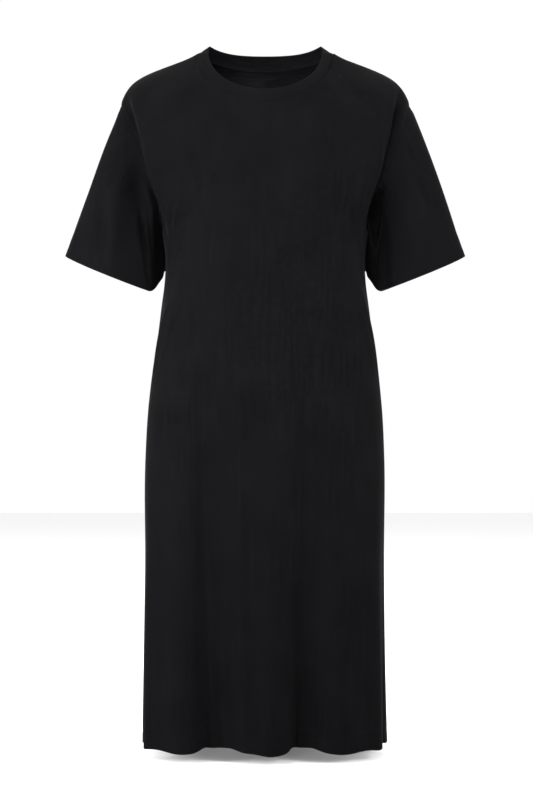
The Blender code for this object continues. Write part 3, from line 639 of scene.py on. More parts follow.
def valley_lift(side, base, rise):
    """The trough beside each armhole and the brow beyond it: bells of the distance from
    the seam, fading at the shoulder point and towards the underarm."""
    lift = np.zeros(base.shape[:2])
    armhole = rise > UNDERARM_RISE - TOLERANCE
    for panel, edge, depth, place, power, width, head in VALLEYS:
        if panel != side:
            continue
        corners = base[armhole, edge]
        fine = np.linspace(0.0, len(corners) - 1.0, VALLEY_SAMPLES)
        seam = line_at(fine, np.arange(len(corners)), corners)
        upwards = lengths(seam, 0)
        upwards = upwards / upwards[-1]
        strength = ease(upwards, *VALLEY_FOOT) * (1.0 - ease(upwards, head, 1.0))
        half = slice(base.shape[1] // 2, None) if edge else slice(None, base.shape[1] // 2 + 1)
        apart = np.linalg.norm(base[:, half, None] - seam, axis=-1)
        closest = apart.argmin(axis=-1)
        across = apart.min(axis=-1) - place * upwards[closest] ** power
        trough = bell(across / width)
        brow = bell((across - BROW_PLACE * width) / (BROW_WIDTH * width))
        lift[:, half] += strength[closest] * (VALLEY_BROW * brow - depth * trough)
    return lift


def seen_creases(points, normals, mirrored):
    """Lift of the creases seen from the front: each is a bell of the distance from its
    line, that swells and dies along it, on the cloth that faces the front."""
    facing = ease(-normals[..., 1], *FACING_FRONT)
    total = np.zeros(points.shape[:2])
    for across_top, top, across_foot, foot, depth, width in SEEN_CREASES:
        run, fall = across_foot - across_top, foot - top
        length = np.hypot(run, fall)
        east = points[..., 0] * (-1.0 if mirrored else 1.0) - across_top
        north = points[..., 2] - top
        along = (east * run + north * fall) / length ** 2
        apart = (east * fall - north * run) / length
        swell = swelling(along) ** SEEN_SWELL
        total = total + depth * bell(apart / width) * swell
    return total * facing


def unevenness(around, height):
    """A slow, slight waviness of hung jersey: a sum of sines of place and height."""
    return WAVINESS * sum(strength * np.sin(turning * around + rising * height + phase)
                          for strength, turning, rising, phase in WAVES)


def share_normals(front, back, across, rise):
    """Gives both panels one normal where they meet, at the side and shoulder seams."""
    below = rise < UNDERARM_RISE + TOLERANCE
    outer = np.abs(across) > NECK_SHARE - TOLERANCE
    for place in ((below, 0), (below, -1), (-1, outer)):
        mean = unit(front[place] + back[place])
        front[place] = mean
        back[place] = mean


def needle_rows(distance, depth):
    """The dips of a hem's twin needle, at its raw edge and one needle gap below."""
    upper = bell((distance - depth) / NEEDLE_DIP_WIDTH)
    lower = bell((distance - depth + NEEDLE_GAP) / NEEDLE_DIP_WIDTH)
    return -NEEDLE_DIP * (upper + lower)


def edge_distances(face):
    """Cloth lengths of a panel's points from its hem, its top edge and its nearer side."""
    up = lengths(face, 0)
    sideways = lengths(face, 1)
    return up, up[-1:] - up, np.minimum(sideways, sideways[:, -1:] - sideways)


def relaxed(base, across, rise):
    """Eases a panel below the ends of its neckline: there each point moves half way to the
    mean of its two neighbours in its row, a number of times."""
    near = bell((np.abs(across) - NECK_SHARE) / NECK_EASE_WIDTH)[None, 1:-1, None]
    fade = ease(rise, *NECK_EASE_FROM) * (1.0 - ease(rise, *NECK_EASE_TO))
    base = base.copy()
    for _ in range(NECK_EASE_PASSES):
        mean = 0.5 * (base[:, :-2] + base[:, 2:])
        base[:, 1:-1] += 0.5 * near * fade[:, None, None] * (mean - base[:, 1:-1])
    return base


def body_faces(across, rise, sizes):
    """Both panels' outer faces, with folds, seams and hems, their normals, and the
    thickness of the cloth: more in the hem and over the seam allowances."""
    bases, normals, lifts = {}, {}, {}
    for side, facing in (("front", 1.0), ("back", -1.0)):
        base, place, height = panel_base(side, across[None, :], rise[:, None])
        base = relaxed(base, across, rise)
        bases[side] = base
        normals[side] = facing * grid_normals(base, False)
        around = place if side == "front" else 2.0 - place
        folds = fold_depth(side, place, height, sizes.creases)
        folds = folds * (1.0 - ease(rise[:, None], *FOLD_FADE))
        lifts[side] = folds + valley_lift(side, base, rise)
        if side == "front":
            lifts[side] += sizes.creases * seen_creases(base, normals[side], False)
        calm = 1.0 - across[None, :] ** SEAM_CALM
        lifts[side] += unevenness(around, base[..., 2]) * calm
    share_normals(normals["front"], normals["back"], across, rise)
    faces, walls, thickness = {}, {}, {}
    for side, facing in (("front", 1.0), ("back", -1.0)):
        up, down, aside = edge_distances(bases[side])
        seams = -SEAM_DIP * (bell(down / SEAM_DIP_WIDTH) + bell(aside / SEAM_DIP_WIDTH))
        relief = seams + needle_rows(up, sizes.hem)
        face = bases[side] + normals[side] * (lifts[side] + relief)[..., None]
        swing = np.clip(lifts[side] / HEM_SWING_FULL, -1.0, 1.0)
        swing = swing * (1.0 - ease(rise[:, None], 0.0, HEM_SWING_RISE))
        face[..., 2] -= HEM_SWING * swing
        faces[side] = face
        walls[side] = facing * grid_normals(face, False)
        thickness[side] = cloth_wall(up, sizes.hem, (down, aside), sizes)
    share_normals(walls["front"], walls["back"], across, rise)
    return faces, walls, thickness


def folded_edge(distance, thickness):
    """The share of its thickness that a folded edge has at a distance from the fold:
    a half circle's, the root of 1 - (1 - s)^2, where s is 2 distance / thickness."""
    share = np.clip(2.0 * distance / thickness, 0.0, 1.0)
    return np.maximum(np.sqrt(1.0 - (1.0 - share) ** 2), EDGE_LEAST)


def cloth_wall(up, hem, from_seams, sizes):
    """The thickness of the jersey: nearly double in the turned hem and over the seam
    allowances, and rounded off at the folded edge."""
    doubled = 1.0 - ease(up, hem + HEM_STEP[0], hem + HEM_STEP[1])
    for distance in from_seams:
        beyond = ease(distance, sizes.allowance, sizes.allowance + ALLOWANCE_STEP)
        doubled = np.maximum(doubled, 1.0 - beyond)
    return sizes.cloth * (1.0 + DOUBLING * doubled) * folded_edge(up, 2.0 * sizes.cloth)


# ---- The sleeves and the neck band ----
def armhole_seam(faces, walls, rise):
    """The armhole at +X as a ring: points, normals and share of a turn by length, from
    the shoulder point over the front to 0.5 at the underarm and over the back."""
    armhole = rise > UNDERARM_RISE - TOLERANCE
    halves = []
    for side in ("front", "back"):
        points = faces[side][armhole, -1][::-1]
        length = lengths(points, 0)
        halves.append((points, walls[side][armhole, -1][::-1], 0.5 * length / length[-1]))
    (fore, fore_normal, fore_turn), (aft, aft_normal, aft_turn) = halves
    points = np.concatenate([fore, aft[-2:0:-1]])
    normals = np.concatenate([fore_normal, aft_normal[-2:0:-1]])
    turn = np.concatenate([fore_turn, 1.0 - aft_turn[-2:0:-1]])
    return points, normals, turn


def even_ring(turn, values, smoothing):
    """A closed ring's values at evenly spaced turns, smoothed by a bell of the distance
    around it."""
    even = np.arange(SLEEVE_COLUMNS_AROUND) / SLEEVE_COLUMNS_AROUND
    ring = line_at(even, turn, values, period=1.0)
    apart = np.mod(even - even[:, None] + 0.5, 1.0) - 0.5
    weights = bell(apart / smoothing)
    return (weights / weights.sum(axis=1, keepdims=True)) @ ring


def cuff_ring(turn):
    """The sleeve's hem at +X: a leaning ellipse that rises beside the body."""
    angle = 2.0 * np.pi * turn
    beside = ease(turn, *CUFF_LIFT_FORE) * (1.0 - ease(turn, *CUFF_LIFT_AFT))
    outwards = CUFF_HALF_WIDTH * np.cos(angle) / np.hypot(1.0, CUFF_LEAN)
    x = CUFF_CENTRE[0] + outwards - CUFF_BODY_SHIFT * beside
    y = CUFF_CENTRE[1] - CUFF_HALF_DEPTH * np.sin(angle) + CUFF_BACK_SHIFT * beside
    lift = np.where(np.sin(angle) > 0.0, -CUFF_FRONT_DROP, -CUFF_BACK_LIFT) * np.sin(angle)
    z = CUFF_CENTRE[2] + CUFF_LEAN * outwards + CUFF_LIFT * beside + lift
    return np.stack([x, y, z], axis=-1)


def body_reach(face):
    """The body's half-width, without its folds, at the height and depth of each point."""
    height = face[..., 2]
    depth = np.where(face[..., 1] < 0.0, level("front", height), level("back", height))
    power = level("boxiness", height)
    aside = np.clip(np.abs(face[..., 1]) / depth, 0.0, 1.0)
    return level("half_width", height) * (1.0 - aside ** power) ** (1.0 / power)


def settle_on_body(face, turn, share):
    """A sleeve beside the body.  Behind the body's widest line its wall is drawn in by a
    share of its gap, and everywhere it is held out by the soft positive part of what it
    falls short of the clearance."""
    drawn = bell((turn - HUG_TURN) / HUG_WIDTH) * ease(share, *HUG_RISE)
    gap = face[..., 0] - body_reach(face) - SLEEVE_CLEARANCE
    face[..., 0] -= drawn * np.maximum(gap, 0.0)
    over = body_reach(face) + SLEEVE_CLEARANCE - face[..., 0]
    held = ease(share, 0.0, CLEARANCE_FROM)
    face[..., 0] += held * 0.5 * (over + np.hypot(over, CLEARANCE_SOFTNESS))
    return face


def sleeve_face(hand, seam, normals, turn, down, sizes):
    """The sleeve's outer face, [down][around]: a cubic in each column, from the armhole
    seam to the hem ring, with its folds and hem."""
    along_seam = unit(np.roll(seam, -1, axis=0) - np.roll(seam, 1, axis=0))
    away = unit(np.cross(normals, along_seam))
    away = unit(even_ring(turn, away, LEAVE_SMOOTHING))
    end = cuff_ring(turn)
    cap = bell(np.minimum(turn, 1.0 - turn) / CAP_WIDTH)
    away[:, 1] *= 1.0 - CAP_STRAIGHTENING * cap
    away = unit(away)
    under = bell((turn - 0.5) / UNDERARM_WIDTH)[:, None]
    chord = np.linalg.norm(end - seam, axis=-1, keepdims=True)
    strength = (1.0 - (1.0 - CAP_REACH) * cap)[:, None]
    leave = away * (chord * strength * (1.0 - under) + UNDERARM_ROLL * under)
    hang = unit(np.array(SLEEVE_HANG) * (1.0 - under) + np.array(UNDERARM_HANG) * under)
    arrive = hang * (chord * (1.0 - under) + UNDERARM_FALL * under)
    share = down[:, None]
    face = hermite(seam[None], leave[None], end[None], arrive[None], share[..., None])
    lift = np.zeros(face.shape[:2])
    for seam_at, hem_at, depth, width in SLEEVE_FOLDS:
        centre = seam_at + (hem_at - seam_at) * share
        grown = ease(share, *SLEEVE_FOLD_GROWTH)
        lift = lift + depth * bell((turn[None] - centre) / width) * grown
    for side, turn_top, top, turn_foot, foot, depth, width in SLEEVE_CREASES:
        if side != hand:
            continue
        along = (share - top) / (foot - top)
        centre = turn_top + (turn_foot - turn_top) * along
        swell = swelling(along) * ease(share, *SLEEVE_CREASE_GROWTH)
        lift = lift + sizes.creases * depth * bell((turn[None] - centre) / width) * swell
    outwards = grid_normals(face, True)
    seen = seen_creases(face, outwards, hand == "left")
    lift = lift + sizes.creases * seen * ease(share, *SEEN_CREASE_GROWTH)
    length = lengths(face, 0)
    lift = lift - SEAM_DIP * bell(length / SEAM_DIP_WIDTH) * ease(share, 0.0, TOLERANCE)
    lift = lift + needle_rows(length[-1:] - length, sizes.cuff_hem)
    face = face + outwards * lift[..., None]
    return settle_on_body(face, turn[None], share)


def neck_places(across):
    """The neckline's columns as a ring from the shoulder seam at -X over the front: for
    each its panel, its column and its signed quarter turns from centre front."""
    columns = np.flatnonzero(np.abs(across) < NECK_SHARE + TOLERANCE)
    front = [("front", k, across[k] / NECK_SHARE) for k in columns]
    back = [("back", k, np.sign(across[k] + TINY) * (2.0 - abs(across[k]) / NECK_SHARE))
            for k in columns[-2:0:-1]]
    return front + back


def band_face(quarter, rise):
    """The neck band's face [up][around], from the neck seam to its folded edge, crowned
    by a parabola between them."""
    mirror = np.where(quarter < 0.0, -1.0, 1.0)
    seam = neck_ring(np.abs(quarter), "seam")
    edge = neck_ring(np.abs(quarter), "edge")
    rise = rise[:, None, None]
    outwards = unit(seam * np.array([1.0, 1.0, 0.0])) + np.array([0.0, 0.0, BAND_CROWN_RISE])
    point = seam + (edge - seam) * rise + outwards * BAND_CROWN * 4.0 * rise * (1.0 - rise)
    return point * np.stack([mirror, np.ones_like(mirror), np.ones_like(mirror)], axis=-1)


# ---- Meshes ----
def retreat(skin, normals, closed, edges):
    """Moves the named edges of a grid back by SEAM_TRIM, in its surface and square to the
    edge, mitred where the edge bends."""
    whole = slice(None)
    moved = skin.copy()
    for edge in edges:
        take, inwards = {"bottom": ((0, whole), 1.0), "top": ((-1, whole), -1.0),
                         "left": ((whole, 0), -1.0), "right": ((whole, -1), 1.0)}[edge]
        line = skin[take]
        steps = np.diff(line, axis=0)
        first, last = (line[:1] - line[-1:],) * 2 if closed else (steps[:1], steps[-1:])
        before = unit(np.cross(normals[take], np.concatenate([first, steps])))
        after = unit(np.cross(normals[take], np.concatenate([steps, last])))
        mitre = (before + after) / (1.0 + np.sum(before * after, axis=-1, keepdims=True))
        moved[take] += mitre * inwards * SEAM_TRIM
    return moved


def cloth(name, outer, normals, wall, closed, seams, material):
    """One cloth piece: its outer face and an inner face one wall behind it, as two grids
    [row][around] joined around their edges, with a UV map in metres of cloth and an
    attribute that is 1 on the inner face, the knit's reverse."""
    wall = np.broadcast_to(wall, outer.shape[:2])[..., None]
    skins = [retreat(skin, normals, closed, seams) for skin in (outer, outer - normals * wall)]
    rows, around = outer.shape[:2]
    points = np.concatenate([skin.reshape(-1, 3) for skin in skins])
    index = np.arange(rows * around).reshape(rows, around)
    wide = outer
    if closed:
        index, wide = closed_around(index), closed_around(outer)
    girth = lengths(wide, 1)
    flat = np.stack([girth - 0.5 * girth[:, -1:], lengths(wide, 0)], axis=-1)
    corners = ((slice(None, -1), slice(None, -1)), (slice(None, -1), slice(1, None)),
               (slice(1, None), slice(1, None)), (slice(1, None), slice(None, -1)))
    face = np.stack([index[corner] for corner in corners], axis=-1).reshape(-1, 4)
    face_uv = np.stack([flat[corner] for corner in corners], axis=-2).reshape(-1, 4, 2)
    inner = rows * around
    loops = [index[0], index[-1][::-1]]
    flats = [flat[0], flat[-1][::-1]]
    if not closed:
        loops = [np.concatenate([index[0], index[1:, -1], index[-1, -2::-1], index[-2::-1, 0]])]
        flats = [np.concatenate([flat[0], flat[1:, -1], flat[-1, -2::-1], flat[-2::-1, 0]])]
    rim = np.concatenate([
        np.stack([loop[1:], loop[:-1], loop[:-1] + inner, loop[1:] + inner], axis=-1)
        for loop in loops])
    rim_uv = np.concatenate([
        np.stack([edge[1:], edge[:-1], edge[:-1], edge[1:]], axis=-2) for edge in flats])
    turned = [0, 3, 2, 1]
    faces = np.concatenate([face, face[:, turned] + inner, rim])
    uvs = np.concatenate([face_uv, face_uv[:, turned], rim_uv])
    made = mesh_object(name, points, faces, material, uvs)
    reverse = made.data.attributes.new("reverse", "FLOAT", "POINT")
    reverse.data.foreach_set("value", np.repeat([0.0, 1.0], inner).astype(np.float32))
    return made


def mesh_object(name, points, faces, material, uvs=None):
    """A smooth mesh object in the scene, with its UV map where one is given."""
    mesh = bpy.data.meshes.new(name)
    mesh.from_pydata(points.tolist(), [], faces.tolist())
    if uvs is not None:
        layer = mesh.uv_layers.new(name="cloth")
        layer.data.foreach_set("uv", uvs.astype(np.float32).ravel())
    mesh.materials.append(material)
    mesh.shade_smooth()
    mesh.set_sharp_from_angle(angle=np.radians(SHARP_ANGLE))
    made = bpy.data.objects.new(name, mesh)
    bpy.context.scene.collection.objects.link(made)
    return made


def flat_size(outer, closed):
    """A piece's size on its outer face: its longest row, its longest column, and its area
    as the sum of its quads, each half the cross product of its diagonals.  The longest row
    of a panel is its shoulder and neck edge, and that of a sleeve its armhole seam, so both
    widths are more than those of the cut."""
    wide = closed_around(outer) if closed else outer
    area = 0.5 * np.linalg.norm(quad_crosses(wide), axis=-1).sum()
    width = float(lengths(wide, 1)[:, -1].max())
    length = float(lengths(wide, 0)[-1].max())
    return (width, length), min(float(area), width * length)


def body_grid():
    """Columns and rows of the panels: columns lie closer near the seams and meet the
    neckline's ends, and rows lie closer in the hem."""
    even = np.linspace(-1.0, 1.0, PANEL_COLUMNS + 1)
    plain, dense = COLUMN_SPACING
    across = plain * even + dense * np.sin(even * np.pi / 2.0)
    for corner in (-NECK_SHARE, NECK_SHARE):
        across[np.argmin(np.abs(across - corner))] = corner
    hem = np.array(HEM_ROWS) / (CHEST_HEIGHT - HEM_HEIGHT)
    rise = np.concatenate([
        hem,
        np.linspace(hem[-1], UNDERARM_RISE, ROWS_TO_UNDERARM + 1)[1:],
        np.linspace(UNDERARM_RISE, 1.0, ROWS_TO_CHEST + 1)[1:],
        np.linspace(1.0, 2.0, ROWS_TO_TOP + 1)[1:],
    ])
    return across, rise


MADE = {}


def dress_form():
    """The panels' faces, normals and thickness on their grid, worked out once."""
    if "form" not in MADE:
        across, rise = body_grid()
        sizes = bpy.context.scene.dress_sizes
        MADE["form"] = (across, rise, *body_faces(across, rise, sizes))
    return MADE["form"]


# ---- Materials ----
class Wire:
    """A number that a socket gives, so that sums are written as Python expressions."""

    def __init__(self, shader, socket):
        self.shader = shader
        self.socket = socket

    def _with(self, operation, first, second=None):
        values = [first] if second is None else [first, second]
        return self.shader.node("ShaderNodeMath", {"operation": operation}, values)

    def __add__(self, other):
        return self._with("ADD", self, other)

    def __radd__(self, other):
        return self._with("ADD", other, self)

    def __sub__(self, other):
        return self._with("SUBTRACT", self, other)

    def __rsub__(self, other):
        return self._with("SUBTRACT", other, self)

    def __mul__(self, other):
        return self._with("MULTIPLY", self, other)

    def __rmul__(self, other):
        return self._with("MULTIPLY", other, self)

    def sine(self):
        return self._with("SINE", self)

    def size(self):
        return self._with("ABSOLUTE", self)


class Shader:
    """A material being wired up around its Principled BSDF."""

    def __init__(self, name):
        self.material = bpy.data.materials.new(name)
        self.material.use_nodes = True
        self.tree = self.material.node_tree
        self.surface = self.tree.nodes["Principled BSDF"]

    def node(self, kind, settings, inputs, output=0):
        """Adds a node: its settings first, then its inputs by place or by name."""
        made = self.tree.nodes.new(kind)
        for key, value in settings.items():
            setattr(made, key, value)
        named = inputs.items() if isinstance(inputs, dict) else enumerate(inputs)
        for key, value in named:
            self.feed(made.inputs[key], value)
        return Wire(self, made.outputs[output])

    def feed(self, socket, value):
        """Links a wire to a socket, or sets a plain value on it."""
        if isinstance(value, Wire):
            self.tree.links.new(value.socket, socket)
        else:
            socket.default_value = value

    def noise(self, vector, kind):
        """A noise of a given scale, detail and roughness."""
        scale, detail, roughness = kind
        return self.node("ShaderNodeTexNoise", {"noise_dimensions": "3D"}, {
            "Vector": vector, "Scale": scale, "Detail": detail, "Roughness": roughness})

    def stretched(self, vector, factors):
        """A vector with each of its parts multiplied."""
        return self.node("ShaderNodeVectorMath", {"operation": "MULTIPLY"},
                         [vector, factors])

    def set(self, **values):
        """Sets the Principled BSDF's sockets, named with underscores."""
        for key, value in values.items():
            self.feed(self.surface.inputs[key.replace("_", " ")], value)


def knitted(name, colour, wale, course, depth, sheen, purl_and_painted_light):
    """A knitted cotton.  Its relief is a product of a wave across the wales and one along
    the courses, bent into the V of each loop, and its black varies a little with noise.
    The reverse, the inner face, is painted a little lighter, as painted light for what reaches
    inside through the neck, in uneven lines along the courses."""
    shader = Shader(name)
    flat = shader.node("ShaderNodeUVMap", {"uv_map": "cloth"}, [])
    across = shader.node("ShaderNodeSeparateXYZ", {}, [flat])
    along = Wire(shader, across.socket.node.outputs[1])
    legs = (across * (np.pi / wale)).sine().size()
    bent = (across * (2.0 * np.pi / wale)).sine().size() * LOOP_BEND
    loops = (along * (2.0 * np.pi / course) + bent).sine() * 0.5 + 0.5
    relief = legs * (loops * LOOP_RELIEF[0] + LOOP_RELIEF[1])
    mottle = shader.noise(flat, MOTTLE)
    cloud = shader.noise(flat, CLOUD)
    slub = shader.noise(shader.stretched(flat, SLUB_STRETCH), SLUB)
    reverse = shader.node("ShaderNodeAttribute", {"attribute_name": "reverse"}, [], 2)
    purl = shader.noise(shader.stretched(flat, PURL_STRETCH), PURL)
    tone = mottle * MOTTLE_TONE + cloud * CLOUD_TONE + slub * SLUB_TONE - TONE_SHIFT
    # painted light: the inner face is made lighter, standing in for the light inside the neck,
    # laid in the reverse's uneven purl lines
    tone = tone + reverse * (purl * PURL_LINES_AND_PAINTED_LIGHT[0] - PURL_LINES_AND_PAINTED_LIGHT[1]) * purl_and_painted_light
    shade = shader.node("ShaderNodeVectorMath", {"operation": "SCALE"},
                        {"Vector": tuple(colour), "Scale": tone})
    bump = shader.node("ShaderNodeBump", {}, {
        "Strength": 0.35, "Distance": depth, "Height": relief})
    shader.set(Base_Color=shade, Roughness=KNIT_ROUGHNESS[0] + mottle * KNIT_ROUGHNESS[1],
               Normal=bump, Sheen_Weight=sheen, Sheen_Roughness=0.30, Sheen_Tint=WHITE,
               Specular_IOR_Level=0.021)
    return shader.material


def sewing_thread(colour):
    """A spun polyester thread, a little glossier than the jersey."""
    shader = Shader("sewing_thread")
    shader.set(Base_Color=(*colour, 1.0), Roughness=0.7, Specular_IOR_Level=0.04)
    return shader.material


def studio_floor(colour):
    """A pale floor that glows a little: painted light that lightens the shadow under the dress.
    """
    shader = Shader("studio_floor")
    # painted light: the floor's glow, though it is no lamp, lifts the shade beneath the dress
    shader.set(Base_Color=(*colour, 1.0), Roughness=0.9, Emission_Color=WHITE,
               Emission_Strength=0.10, Specular_IOR_Level=0.1)
    return shader.material


# ---- Pieces ----
def declare(piece, node):
    """Attaches a cloth to the root body and hides the CAD part that it replaces."""
    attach(piece, "root")
    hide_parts(node)


def stitches(name, line, normals, closed, pitch, material):
    """A row of stitches laid along a line on the cloth.  Each is a small rounded bar: a
    hexagon around an axis, narrowed at its ends, set along the line's tangent."""
    if closed:
        line = np.concatenate([line, line[:1]])
        normals = np.concatenate([normals, normals[:1]])
    length = lengths(line, 0)
    count = max(int(length[-1] / pitch), 2)
    at = (np.arange(count) + 0.5) * length[-1] / count
    centre = line_at(at, length, line)
    ahead = line_at(at + STITCH_LOOK_AHEAD, length, line)
    up = unit(line_at(at, length, normals))
    along = unit(ahead - centre + STITCH_NUDGE)
    side = unit(np.cross(up, along))
    angle = np.arange(STITCH_SIDES) * np.pi / (STITCH_SIDES / 2)
    ring = np.stack([np.cos(angle), np.sin(angle)], axis=-1)
    shape = np.array([[reach * pitch, STITCH_HALF_WIDTH * width * a,
                       STITCH_HALF_HEIGHT * width * b + height]
                      for reach, width, height in STITCH_STATIONS for a, b in ring])
    points = (centre[:, None] + along[:, None] * shape[None, :, :1]
              + side[:, None] * shape[None, :, 1:2] + up[:, None] * shape[None, :, 2:3])
    low = np.arange(STITCH_SIDES)
    after = (low + 1) % STITCH_SIDES
    wall = np.stack([low, after, after + STITCH_SIDES, low + STITCH_SIDES], axis=-1)
    rings = np.arange(len(STITCH_STATIONS)) * STITCH_SIDES
    near = np.array([[0, 3, 2, 1], [0, 5, 4, 3]])
    far = np.array([[0, 1, 2, 3], [0, 3, 4, 5]]) + rings[-1]
    bar = np.concatenate([*(wall + first for first in rings[:-1]), near, far])
    faces = (bar[None] + np.arange(count)[:, None, None] * len(shape)).reshape(-1, 4)
    return mesh_object(name, points.reshape(-1, 3), faces, material)


def line_on(face, normals, distance, at):
    """The line on a grid [up][around] where its columns reach a length of cloth."""
    row = np.clip((distance < at).sum(axis=0) - 1, 0, len(face) - 2)
    pick = np.arange(face.shape[1])
    low, high = distance[row, pick], distance[row + 1, pick]
    share = ((at - low) / (high - low))[:, None]
    points = face[row, pick] * (1.0 - share) + face[row + 1, pick] * share
    return points, unit(normals[row, pick] * (1.0 - share) + normals[row + 1, pick] * share)


def panel_piece(side, material):
    """The front or back panel as cloth."""
    _, _, faces, walls, thickness = dress_form()
    turned = slice(None) if side == "front" else slice(None, None, -1)
    face, wall_normals = faces[side][:, turned], walls[side][:, turned]
    piece = cloth(side + "_panel_cloth", face, wall_normals, thickness[side][:, turned],
                  False, ("left", "right", "top"), material)
    return piece, face, wall_normals


def sleeve_piece(name, hand, material, sizes):
    """One sleeve as cloth: its piece, and its face and normals with rows upwards."""
    _, rise, faces, walls, _ = dress_form()
    mirror = np.array([-1.0, 1.0, 1.0])
    if hand == "left":
        faces = {side: grid[:, ::-1] * mirror for side, grid in faces.items()}
        walls = {side: grid[:, ::-1] * mirror for side, grid in walls.items()}
    seam, normals, turn = armhole_seam(faces, walls, rise)
    seam = even_ring(turn, seam, RING_SMOOTHING)
    normals = unit(even_ring(turn, normals, RING_SMOOTHING))
    turn = np.arange(SLEEVE_COLUMNS_AROUND) / SLEEVE_COLUMNS_AROUND
    down = np.linspace(0.0, 1.0, SLEEVE_ROWS + 1)
    down = 0.5 * down + 0.5 * ease(down, 0.0, 1.0)
    face = sleeve_face(hand, seam, normals, turn, down, sizes)
    wall_normals = grid_normals(face, True)
    wall_normals[0] = normals
    face, wall_normals = face[::-1], wall_normals[::-1]
    if hand == "left":
        face, wall_normals = face * mirror, wall_normals * mirror
    else:
        face, wall_normals = face[:, ::-1], wall_normals[:, ::-1]
    up = lengths(face, 0)
    wall = cloth_wall(up, sizes.cuff_hem, (up[-1:] - up,), sizes)
    piece = cloth(name, face, wall_normals, wall, True, ("top",), material)
    return piece, face, wall_normals


def sew_and_declare(piece, node, stem, face, normals, closed, hem):
    pitch = bpy.context.scene.dress_sizes.stitch
    thread = bpy.data.materials["sewing_thread"]
    up = lengths(face, 0)
    for number, at in enumerate((hem, hem - NEEDLE_GAP), 1):
        line, along = line_on(face, normals, up, at)
        row = stitches(f"{stem}_{number}", line, along, closed, pitch, thread)
        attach(row, "root")
    size, area = flat_size(face, closed)
    declare(piece, node)


class DRESS_OT_panels(bpy.types.Operator):
    """Make the front and back panels with their hem stitching"""

    bl_idname = "dress.panels"
    bl_label = "Front and back panels"

    def execute(self, context):
        sizes, colours = context.scene.dress_sizes, context.scene.dress_colours
        sewing_thread(colours.thread)
        for side in ("front", "back"):
            material = knitted("jersey_" + side + "_look", colours.jersey, **JERSEY)
            piece, face, normals = panel_piece(side, material)
            sew_and_declare(piece, side + "_panel", side + "_hem_stitches",
                            face, normals, False, sizes.hem)
        return {"FINISHED"}


class DRESS_OT_sleeves(bpy.types.Operator):
    """Make both sleeves with their hem stitching"""

    bl_idname = "dress.sleeves"
    bl_label = "Sleeves"

    def execute(self, context):
        sizes, colours = context.scene.dress_sizes, context.scene.dress_colours
        for hand in ("right", "left"):
            material = knitted("jersey_" + hand + "_look", colours.jersey, **JERSEY)
            piece, face, normals = sleeve_piece("sleeve_" + hand + "_cloth", hand,
                                                material, sizes)
            sew_and_declare(piece, "sleeve_" + hand,
                            "sleeve_" + hand + "_stitches", face, normals, True,
                            sizes.cuff_hem)
        return {"FINISHED"}


class DRESS_OT_neck_band(bpy.types.Operator):
    """Make the folded neck band"""

    bl_idname = "dress.neck_band"
    bl_label = "Neck band"

    def execute(self, context):
        sizes, colours = context.scene.dress_sizes, context.scene.dress_colours
        across, _, _, walls, _ = dress_form()
        places = neck_places(across)
        quarter = np.array([place[2] for place in places])
        up = np.array(BAND_ROWS)
        face = band_face(quarter, up)
        normals = grid_normals(face, True)
        normals[0] = [walls[side][-1, k] for side, k, _ in places]
        height = lengths(face, 0)
        left = height[-1:] - height
        wall = sizes.band_cloth * folded_edge(left, sizes.band_cloth)
        lift = -0.5 * (sizes.band_cloth - wall)
        lift = lift - SEAM_DIP * bell(height / SEAM_DIP_WIDTH)
        face = face + normals * lift[..., None]
        material = knitted("rib_look", colours.rib, **RIB)
        piece = cloth("neck_band_cloth", face, normals, wall, True, ("bottom",), material)
        size, area = flat_size(face, True)
        declare(piece, "neck_band")
        return {"FINISHED"}


# The softboxes stand around the dress, azimuth 0 in front and positive to the right, with
# angles in degrees, sizes in metres and power in watts
# Columns: name, azimuth, elevation, height of what is lit, spread, width, height, power
SOFTBOXES = (
    ("key_left", -40.0, 35.0, -0.15, 40.0, 1.4, 1.4, 4.0),
    ("left", -64.0, 10.0, -0.30, 55.0, 1.2, 1.5, 25.0),
    ("top_front", -12.0, 50.0, 0.0, 34.0, 1.3, 1.3, 4.2),
    ("front_right", 42.0, 24.0, -0.30, 36.0, 1.1, 1.1, 9.3),
    ("side_left", -82.0, 5.0, -0.50, 180.0, 1.4, 2.4, 110.0),
    ("side_right", 76.0, 5.0, -0.40, 90.0, 1.4, 1.6, 30.0),
    ("top_back", 180.0, 45.0, -0.30, 180.0, 2.4, 2.0, 60.0),
    ("waist", -15.0, 4.0, -0.45, 26.0, 0.8, 0.8, 4.5),
)
SOFTBOX_DISTANCE = 3.3
CAMERA_PLACE = (0.002, -2.8, -0.5475)
VIEW_HALF_HEIGHT = 0.632      # half of what the frame shows at the dress, in metres
SENSOR = 36.0
FLOOR_HEIGHT = -1.108
FLOOR_HALF = 6.0
WORLD_STRENGTH = 1.0


def softbox(name, azimuth, elevation, lit, spread, width, height, power):
    """An area light on a sphere around the dress, that faces the axis of the body."""
    data = bpy.data.lights.new(name, "AREA")
    data.shape = "RECTANGLE"
    data.size, data.size_y, data.energy = width, height, power
    data.spread = np.radians(spread)
    lamp = bpy.data.objects.new(name, data)
    bpy.context.scene.collection.objects.link(lamp)
    turn, tilt = np.radians(azimuth), np.radians(elevation)
    reach = SOFTBOX_DISTANCE * np.cos(tilt)
    lamp.location = (reach * np.sin(turn), -reach * np.cos(turn),
                     lit + SOFTBOX_DISTANCE * np.sin(tilt))
    lamp.rotation_euler = (np.pi / 2.0 - tilt, 0.0, turn)


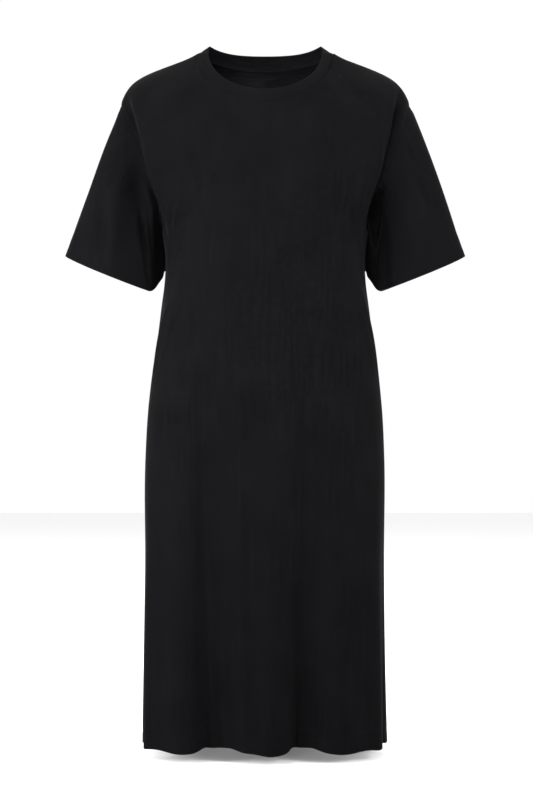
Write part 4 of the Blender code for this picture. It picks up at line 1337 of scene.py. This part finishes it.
class DRESS_OT_stage(bpy.types.Operator):
    """Make the floor, the lights and the camera"""

    bl_idname = "dress.stage"
    bl_label = "Stage"

    def execute(self, context):
        scene = context.scene
        corners = np.array([(-1, -1), (1, -1), (1, 1), (-1, 1)]) * FLOOR_HALF
        points = np.column_stack([corners, np.full(4, FLOOR_HEIGHT)])
        floor = mesh_object("studio_floor", points, np.array([[0, 1, 2, 3]]),
                            studio_floor(scene.dress_colours.floor))
        for box in SOFTBOXES:
            softbox(*box)
        scene.world = bpy.data.worlds.new("studio")
        scene.world.use_nodes = True
        sky = scene.world.node_tree.nodes["Background"]
        sky.inputs["Color"].default_value = WHITE
        sky.inputs["Strength"].default_value = WORLD_STRENGTH
        scene.view_settings.view_transform = "Standard"
        data = bpy.data.cameras.new("camera")
        data.sensor_width = SENSOR
        data.lens = 0.5 * SENSOR * abs(CAMERA_PLACE[1]) / VIEW_HALF_HEIGHT
        camera = bpy.data.objects.new("camera", data)
        scene.collection.objects.link(camera)
        camera.location = CAMERA_PLACE
        camera.rotation_euler = (np.pi / 2.0, 0.0, 0.0)
        scene.camera = camera
        return {"FINISHED"}


class DRESS_PT_sidebar(bpy.types.Panel):
    """Sizes, colours and pieces of the dress"""

    bl_idname = "DRESS_PT_sidebar"
    bl_label = "Dress"
    bl_space_type = "VIEW_3D"
    bl_region_type = "UI"
    bl_category = "Dress"

    def draw(self, context):
        for group in (context.scene.dress_sizes, context.scene.dress_colours):
            for key in group.__annotations__:
                self.layout.prop(group, key)
        for operator in OPERATORS:
            self.layout.operator(operator.bl_idname)


OPERATORS = (DRESS_OT_panels, DRESS_OT_sleeves, DRESS_OT_neck_band, DRESS_OT_stage)
CLASSES = (DressSizes, DressColours, *OPERATORS, DRESS_PT_sidebar)


def register():
    for made in CLASSES:
        bpy.utils.register_class(made)
    bpy.types.Scene.dress_sizes = bpy.props.PointerProperty(type=DressSizes)
    bpy.types.Scene.dress_colours = bpy.props.PointerProperty(type=DressColours)


def unregister():
    del bpy.types.Scene.dress_sizes
    del bpy.types.Scene.dress_colours
    for made in reversed(CLASSES):
        bpy.utils.unregister_class(made)


def main():
    register()
    bpy.ops.dress.panels()
    bpy.ops.dress.sleeves()
    bpy.ops.dress.neck_band()
    bpy.ops.dress.stage()


if __name__ == "__main__":
    main()
